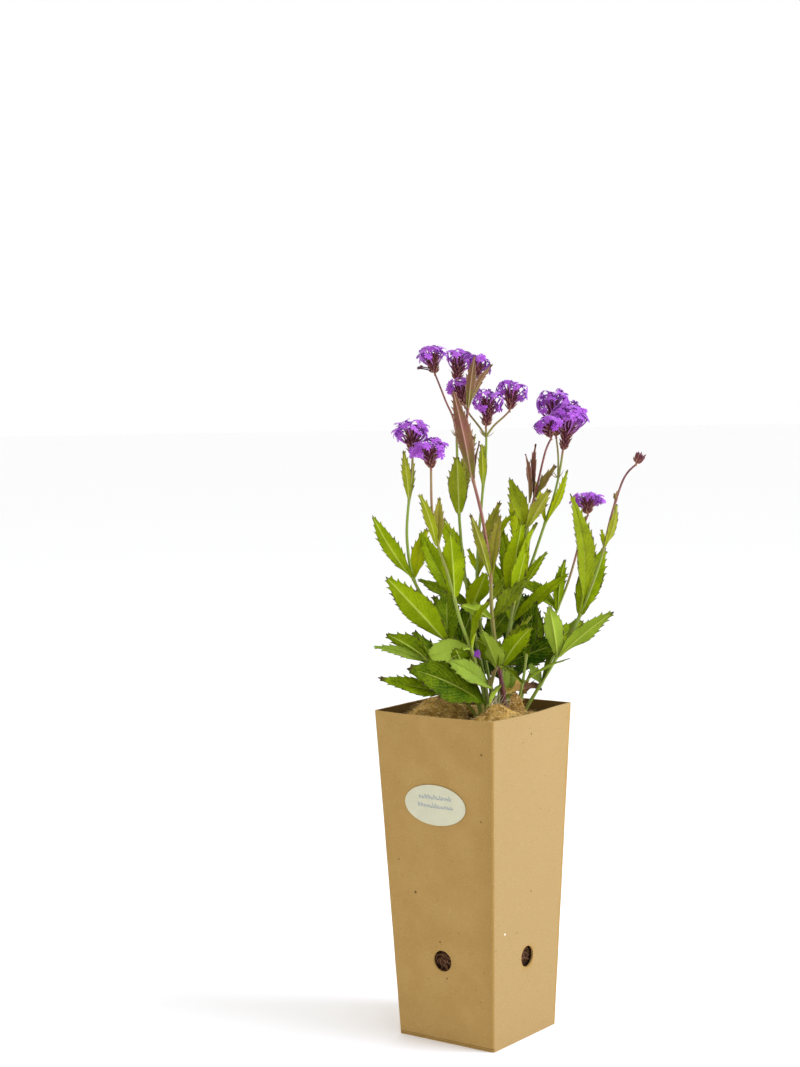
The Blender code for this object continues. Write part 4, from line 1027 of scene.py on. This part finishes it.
def wallInside(height, gap):
    return wallHalf(height) - groundLook["wall"] - gap


def feltLevel(x, y):
    level = groundLook["level"]
    for humpX, humpY, height, spread in groundLook["humps"]:
        level += height * math.exp(-((x - humpX) ** 2 + (y - humpY) ** 2) / (2 * spread ** 2))
    return level


def feltTop(x, y):
    look = groundLook
    raised = 0
    turn = Matrix.Rotation(-look["moundTurn"], 2)
    for moundX, moundY, height, length, width in look["mounds"]:
        spot = turn @ Vector((x - moundX, y - moundY))
        raised += height * math.exp(-0.7 * ((spot.x / length) ** 2 + (spot.y / width) ** 2) ** 2)
    crease = -look["creaseDepth"] * math.exp(-(cutDistance(x, y) / look["creaseWidth"]) ** 2)
    lumps = noise.fractal(Vector((x, y, 0.3)) * 130, 1.0, 2.0, 3) * look["lumps"] * 0.5
    fuzz = noise.noise(Vector((x, y, 7.1)) * 900) * look["fuzz"]
    return feltLevel(x, y) + raised + crease + lumps + fuzz


# How far a spot is from the cut that runs from the slit to the front
def cutDistance(x, y):
    a, b, spot = Vector(groundLook["cutFrom"]), Vector(groundLook["cutTo"]), Vector((x, y))
    share = max(0, min(1, (spot - a).dot(b - a) / (b - a).length_squared))
    return (spot - a.lerp(b, share)).length


def inSlit(x, y):
    look = groundLook
    spot = Matrix.Rotation(-look["slitTurn"], 2) @ (Vector((x, y)) - Vector(look["slitCentre"]))
    if cutDistance(x, y) < look["cutHalf"] * (1 + 0.5 * noise.noise(Vector((x, y, 4)) * 300)):
        return True
    far = math.hypot(spot.x / look["slitLength"], spot.y / look["slitWidth"])
    return far < 0.92 + look["slitRagged"] * noise.noise(Vector((x, y, 2.2)) * 260)


def strand(growth, spot, way, length, radius, draw, lift, tone):
    line = [spot]
    for _ in range(4):
        way = (way + jitter(draw, 0.45) * 0.8).normalized()
        way.z *= lift
        line.append(line[-1] + way * length / 4)
    sweep(growth, line, [radius * r for r in (0.9, 1, 1, 0.8, 0.3)], 3, 1, tone=tone)


# A torn flap of felt that stands up at the slit's front edge
def feltRag(growth):
    look = groundLook
    along = circleWay(look["moundTurn"])
    ahead = Vector((along.y, -along.x, 0))
    wide, tall = look["ragCells"]
    front, back = [], []
    for i in range(wide + 1):
        u = i / wide
        height = look["ragHeight"] * math.sin(math.pi * min(1, u ** 0.75 * 0.96 + 0.04)) ** 0.7
        height *= 1 + 0.10 * noise.noise(Vector((u * 9, 0, 5)))
        for j in range(tall + 1):
            v = j / tall
            bulge = look["ragBulge"] * math.sin(math.pi * u) * (1 - 0.6 * v)
            bulge += look["ragRipple"] * noise.noise(Vector((u * 5, v * 4, 2)))
            spot = Vector(look["ragFoot"]) + along * look["ragLength"] * (u - 0.5) * (1 - 0.25 * v)
            spot += ahead * bulge + up * height * v
            half = look["ragThickness"] / 2 * (1 - 0.5 * v)
            front.append(spot + ahead * half)
            back.append(spot - ahead * half)
    addSheet(growth, front, back, [(a, d, c, b) for a, b, c, d in quadRows(wide + 1, tall + 1, False)])
    draw = random.Random(21)
    for _ in range(look["ragFibres"]):
        spot = front[draw.randrange(len(front))]
        way = ahead * draw.uniform(0, 1) + along * draw.uniform(-1, 1) + up * draw.uniform(-0.3, 0.9)
        length = draw.uniform(*look["ragFibreLength"])
        strand(growth, spot, way.normalized(), length, look["fibreRadius"], draw, 0.8, draw.random())


def feltMaterials():
    look = groundLook
    material, shader, place = newMaterial("tanFelt", 0.95, 0.1)
    color = blend(between(grain(place, 160, 4), 0.38, 0.66), look["feltDark"], look["felt"])
    color = blend(between(grain(place, 900, 3, (0.4, 1.0, 1.0)), 0.55, 0.7), color, look["feltPale"])
    color = blend(times(between(grain(place, 700, 2), 0.64, 0.7), 0.85), color, look["fleck"])
    shade = plus(tag(shader, "tone"), sway(grain(place, 240, 4), 0.3))
    color = blend(between(shade, 0.15, 1.0, 0.0, 0.9), color, look["feltShade"])
    setSurface(shader, color, grain(place, 1400, 4), 0.6, 0.0006)
    fibre, fibreShader, _ = newMaterial("feltFibre", 0.8, 0.2)
    setSurface(fibreShader, ramp(tag(fibreShader, "tone"), [
        (0.0, look["feltDark"]), (0.35, look["felt"]), (0.8, look["feltPale"]), (1.0, look["fibreTip"])]))
    return [material, fibre]


def felt():
    look = groundLook
    growth = newGrowth()
    half = wallInside(look["level"] - look["thickness"], look["feltGap"])
    cells = look["cells"]
    places = [-half + 2 * half * i / cells for i in range(cells + 1)]
    used, points, faces = {}, [], []

    def corner(i, j):
        if (i, j) not in used:
            used[(i, j)] = len(points)
            points.append(Vector((places[i], places[j], feltTop(places[i], places[j]))))
        return used[(i, j)]

    for i in range(cells):
        for j in range(cells):
            if not inSlit((places[i] + places[i + 1]) / 2, (places[j] + places[j + 1]) / 2):
                faces.append((corner(i, j), corner(i + 1, j), corner(i + 1, j + 1), corner(i, j + 1)))
    under = [p - up * look["thickness"] * 0.9 for p in points]
    nearWall = [max(0, 1 - (half - max(abs(p.x), abs(p.y))) / look["nearWall"]) for p in points]
    addSheet(growth, points, under, faces, tone=nearWall + [1.0] * len(under))
    feltRag(growth)
    draw = random.Random(12)
    footX, footY, footZ = look["wispFoot"]
    spreadX, spreadY = look["wispSpread"]
    for _ in range(look["wisps"]):
        spot = Vector((footX + draw.uniform(-spreadX, spreadX), footY + draw.uniform(-spreadY, spreadY), footZ))
        way = Vector((draw.uniform(-0.35, 0.25), draw.uniform(0.1, 0.8), 1.0)).normalized()
        length = draw.uniform(*look["wispLength"])
        strand(growth, spot, way, length, look["wispRadius"], draw, 1.0, draw.uniform(0.8, 1.0))
    made = 0
    while made < look["fibres"]:
        x, y = draw.uniform(-half, half), draw.uniform(-half, half)
        if inSlit(x, y) and draw.random() > look["slitFibres"]:
            continue
        made += 1
        way = circleWay(draw.uniform(0, fullTurn), draw.uniform(-0.1, 0.5))
        x, y = [max(-half * 0.97, min(half * 0.97, v)) for v in (x, y)]
        spot = Vector((x, y, feltTop(x, y) - look["fibreSunk"]))
        strand(growth, spot, way, draw.uniform(*look["fibreLength"]),
               look["fibreRadius"] * draw.uniform(0.6, 1.3), draw, 0.6, draw.uniform(0.25, 0.9))
    makePiece("MulchFelt", growth, feltMaterials(), "mulch_felt", 80)


def soil():
    look = groundLook
    growth = newGrowth()
    top = look["level"] - look["thickness"]
    base = potLook["floor"] + look["soilFoot"]
    halfTop, halfBase = wallInside(top, look["feltGap"]), wallInside(base, look["soilGap"])
    rows, rings, points = look["soilRows"], look["soilRings"], []
    for i in range(rows + 1):
        half = halfBase + (halfTop - halfBase) * i / rows
        height = base + (top - base) * i / rows
        for spot, _, _ in squareLoop(half - look["soilInset"], look["soilCorner"], look["soilSteps"]):
            rough = noise.fractal(Vector((spot.x, spot.y, height)) * 260, 1.0, 2.0, 3) * look["crumbs"]
            spot = spot * (1 + (rough - 0.0004) / half)
            points.append(Vector((spot.x, spot.y, height)))
    wide = len(points) // (rows + 1)
    edge = points[rows * wide:]
    for r in range(1, rings + 1):
        share = 1 - r / rings * 0.97
        for x, y in ((p.x * share, p.y * share) for p in edge):
            rough = noise.fractal(Vector((x, y, 3)) * 420, 1.0, 2.0, 3) * look["topCrumbs"]
            points.append(Vector((x, y, feltLevel(x, y) - look["thickness"] - look["topDrop"] + rough)))
    addShape(growth, points, tubeFaces(rows + 1 + rings, wide))
    # Fine roots behind the drain holes
    draw = random.Random(31)
    spread, step = look["rootSpread"], look["rootStep"]
    for side in range(4):
        turn = Matrix.Rotation(side * math.pi / 2, 3, "Z")
        for _ in range(look["roots"]):
            z = potLook["holeHeight"] + draw.uniform(-spread, spread)
            out = wallInside(z, look["soilGap"]) - look["rootInset"]
            angle, x = draw.uniform(0, fullTurn), draw.uniform(-spread, spread)
            line = []
            for _ in range(look["rootPoints"]):
                line.append(turn @ Vector((x, -out, z)))
                angle += draw.uniform(-0.6, 0.6)
                x += step * math.cos(angle)
                z += step * math.sin(angle)
            radius = look["rootRadius"] * draw.uniform(0.6, 1.5)
            sweep(growth, line, [radius] * len(line), 5, 1, tone=draw.random())
    material, shader, place = newMaterial("darkSoil", 0.98, 0.1)
    color = blend(between(grain(place, 420, 5), 0.45, 0.68), look["soil"], look["soilBrown"])
    setSurface(shader, color, grain(place, 900, 5), 0.9, 0.001)
    root = plainMaterial("fineRoot", look["root"], tuple(0.5 * c for c in look["root"]), 500, 0.8)
    makePiece("RootBall", growth, [material, root], "soil", 80)


print("pot, label and ground")
pot(boardMaterial())
ovalLabel()
soil()
felt()

print("stems and leaves")
leafSet = [leafMaterial(), stemMaterial(), plainMaterial("paleHair", *stemLook["hairColors"], 300, 0.6, 0.0),
           witheredMaterial()]
for number, (name, plan) in enumerate(stems.items()):
    leafyStem(name, plan, number * 100, leafSet)

print("flower heads")
calyxSet = [calyxMaterial(), plainMaterial("calyxHair", *headLook["hairColors"], 300, 0.7, 0.0)]
petal = petalMaterial()
for seed, (name, plan) in enumerate(heads.items()):
    flowerHead(name, plan, seed, calyxSet, petal)
foot, length, turn = headFrame(bud)
budGrowth = newGrowth()
calyxSpike(budGrowth, foot, turn, length * bud["share"], random.Random(50), **bud["look"])
makePiece("Bud1", budGrowth, calyxSet, "bud_1")

# Loose florets as (start, centre). One has fallen among the leaves, two have dried beside head 3
looseLook = dict(
    fallen=((0.0150, -0.0135, 0.2405), (0.0138, -0.0155, 0.2440)), fallenFacing=(0.3, -0.8, 0.5),
    fallenSize=0.95, fallenShift=-0.7,
    dried=(((-0.0395, 0.0152, 0.4215), (-0.0440, 0.0098, 0.4230)),
           ((-0.0394, 0.0150, 0.4205), (-0.0458, 0.0095, 0.4222))),
    driedFacing=(0.2, -0.9, 0.2), driedSize=0.0013, driedShift=-3)

print("loose florets")
fallen, dried = newGrowth(), newGrowth()
start, centre = looseLook["fallen"]
addFloret(fallen, Vector(start), Vector(centre), Vector(looseLook["fallenFacing"]).normalized(),
          headLook["floretSize"] * looseLook["fallenSize"], random.Random(8), looseLook["fallenShift"])
makePiece("FallenFloret", fallen, [petal], None)
for start, centre in looseLook["dried"]:
    addFloret(dried, Vector(start), Vector(centre), Vector(looseLook["driedFacing"]).normalized(),
              looseLook["driedSize"], random.Random(9), looseLook["driedShift"])
makePiece("DriedFlorets", dried, [calyxSet[0]], None)


# Camera at the photo's view, soft studio light and a pale floor

viewLook = dict(
    azimuth=36.6, elevation=4.05, roll=-0.97, distance=1.2918, lens=69.26, sensor=36, clip=(0.05, 20),
    target=(0, 0, 0.3183), shift=-0.0447, world=(1.0, 1.0, 1.0), worldStrength=1.0,
    floor=(0.975, 0.975, 0.975), floorSize=30.0,
    aim=(0, 0, 0.25), keyBack=0.5, keyRight=1.5, keyUp=1.1, keySize=1.2, keyPower=30,
    keyColor=(0.92, 1.0, 1.22))


def addCamera():
    look = viewLook
    azimuth, elevation, roll = (math.radians(look[k]) for k in ("azimuth", "elevation", "roll"))
    back = Vector((math.sin(azimuth) * math.cos(elevation), -math.cos(azimuth) * math.cos(elevation),
                   math.sin(elevation)))
    right = circleWay(azimuth)
    above = back.cross(right)
    turned = Matrix((right * math.cos(roll) + above * math.sin(roll),
                     above * math.cos(roll) - right * math.sin(roll), back)).transposed()
    place = Vector(look["target"]) + right * look["shift"] + back * look["distance"]
    data = bpy.data.cameras.new("PhotoCamera")
    data.sensor_fit, data.sensor_height, data.lens = "VERTICAL", look["sensor"], look["lens"]
    data.clip_start, data.clip_end = look["clip"]
    camera = newObject("PhotoCamera", data)
    camera.matrix_world = Matrix.Translation(place) @ turned.to_4x4()
    bpy.context.scene.camera = camera
    return right, back


print("camera and light")
right, back = addCamera()
aim = Vector(viewLook["aim"])
light = bpy.data.lights.new("KeyLight", "AREA")
light.shape, light.size = "DISK", viewLook["keySize"]
light.energy, light.color = viewLook["keyPower"], viewLook["keyColor"]
lamp = newObject("KeyLight", light)
lamp.location = aim + back * viewLook["keyBack"] + right * viewLook["keyRight"] + up * viewLook["keyUp"]
lamp.rotation_euler = (aim - lamp.location).to_track_quat("-Z", "Y").to_euler()

world = bpy.data.worlds.new("Studio")
world.use_nodes = True
world.node_tree.nodes["Background"].inputs["Color"].default_value = (*viewLook["world"], 1)
world.node_tree.nodes["Background"].inputs["Strength"].default_value = viewLook["worldStrength"]
bpy.context.scene.world = world
bpy.context.scene.view_settings.view_transform = "Standard"

floorMesh = bpy.data.meshes.new("Floor")
reach = viewLook["floorSize"]
corners = [(-reach, -reach, 0), (reach, -reach, 0), (reach, reach, 0), (-reach, reach, 0)]
floorMesh.from_pydata(corners, [], [(0, 1, 2, 3)])
floorMaterial, floorShader, _ = newMaterial("paleFloor", 0.9)
floorShader.inputs["Base Color"].default_value = (*viewLook["floor"], 1)
floorMesh.materials.append(floorMaterial)
newObject("Floor", floorMesh)

print("done")
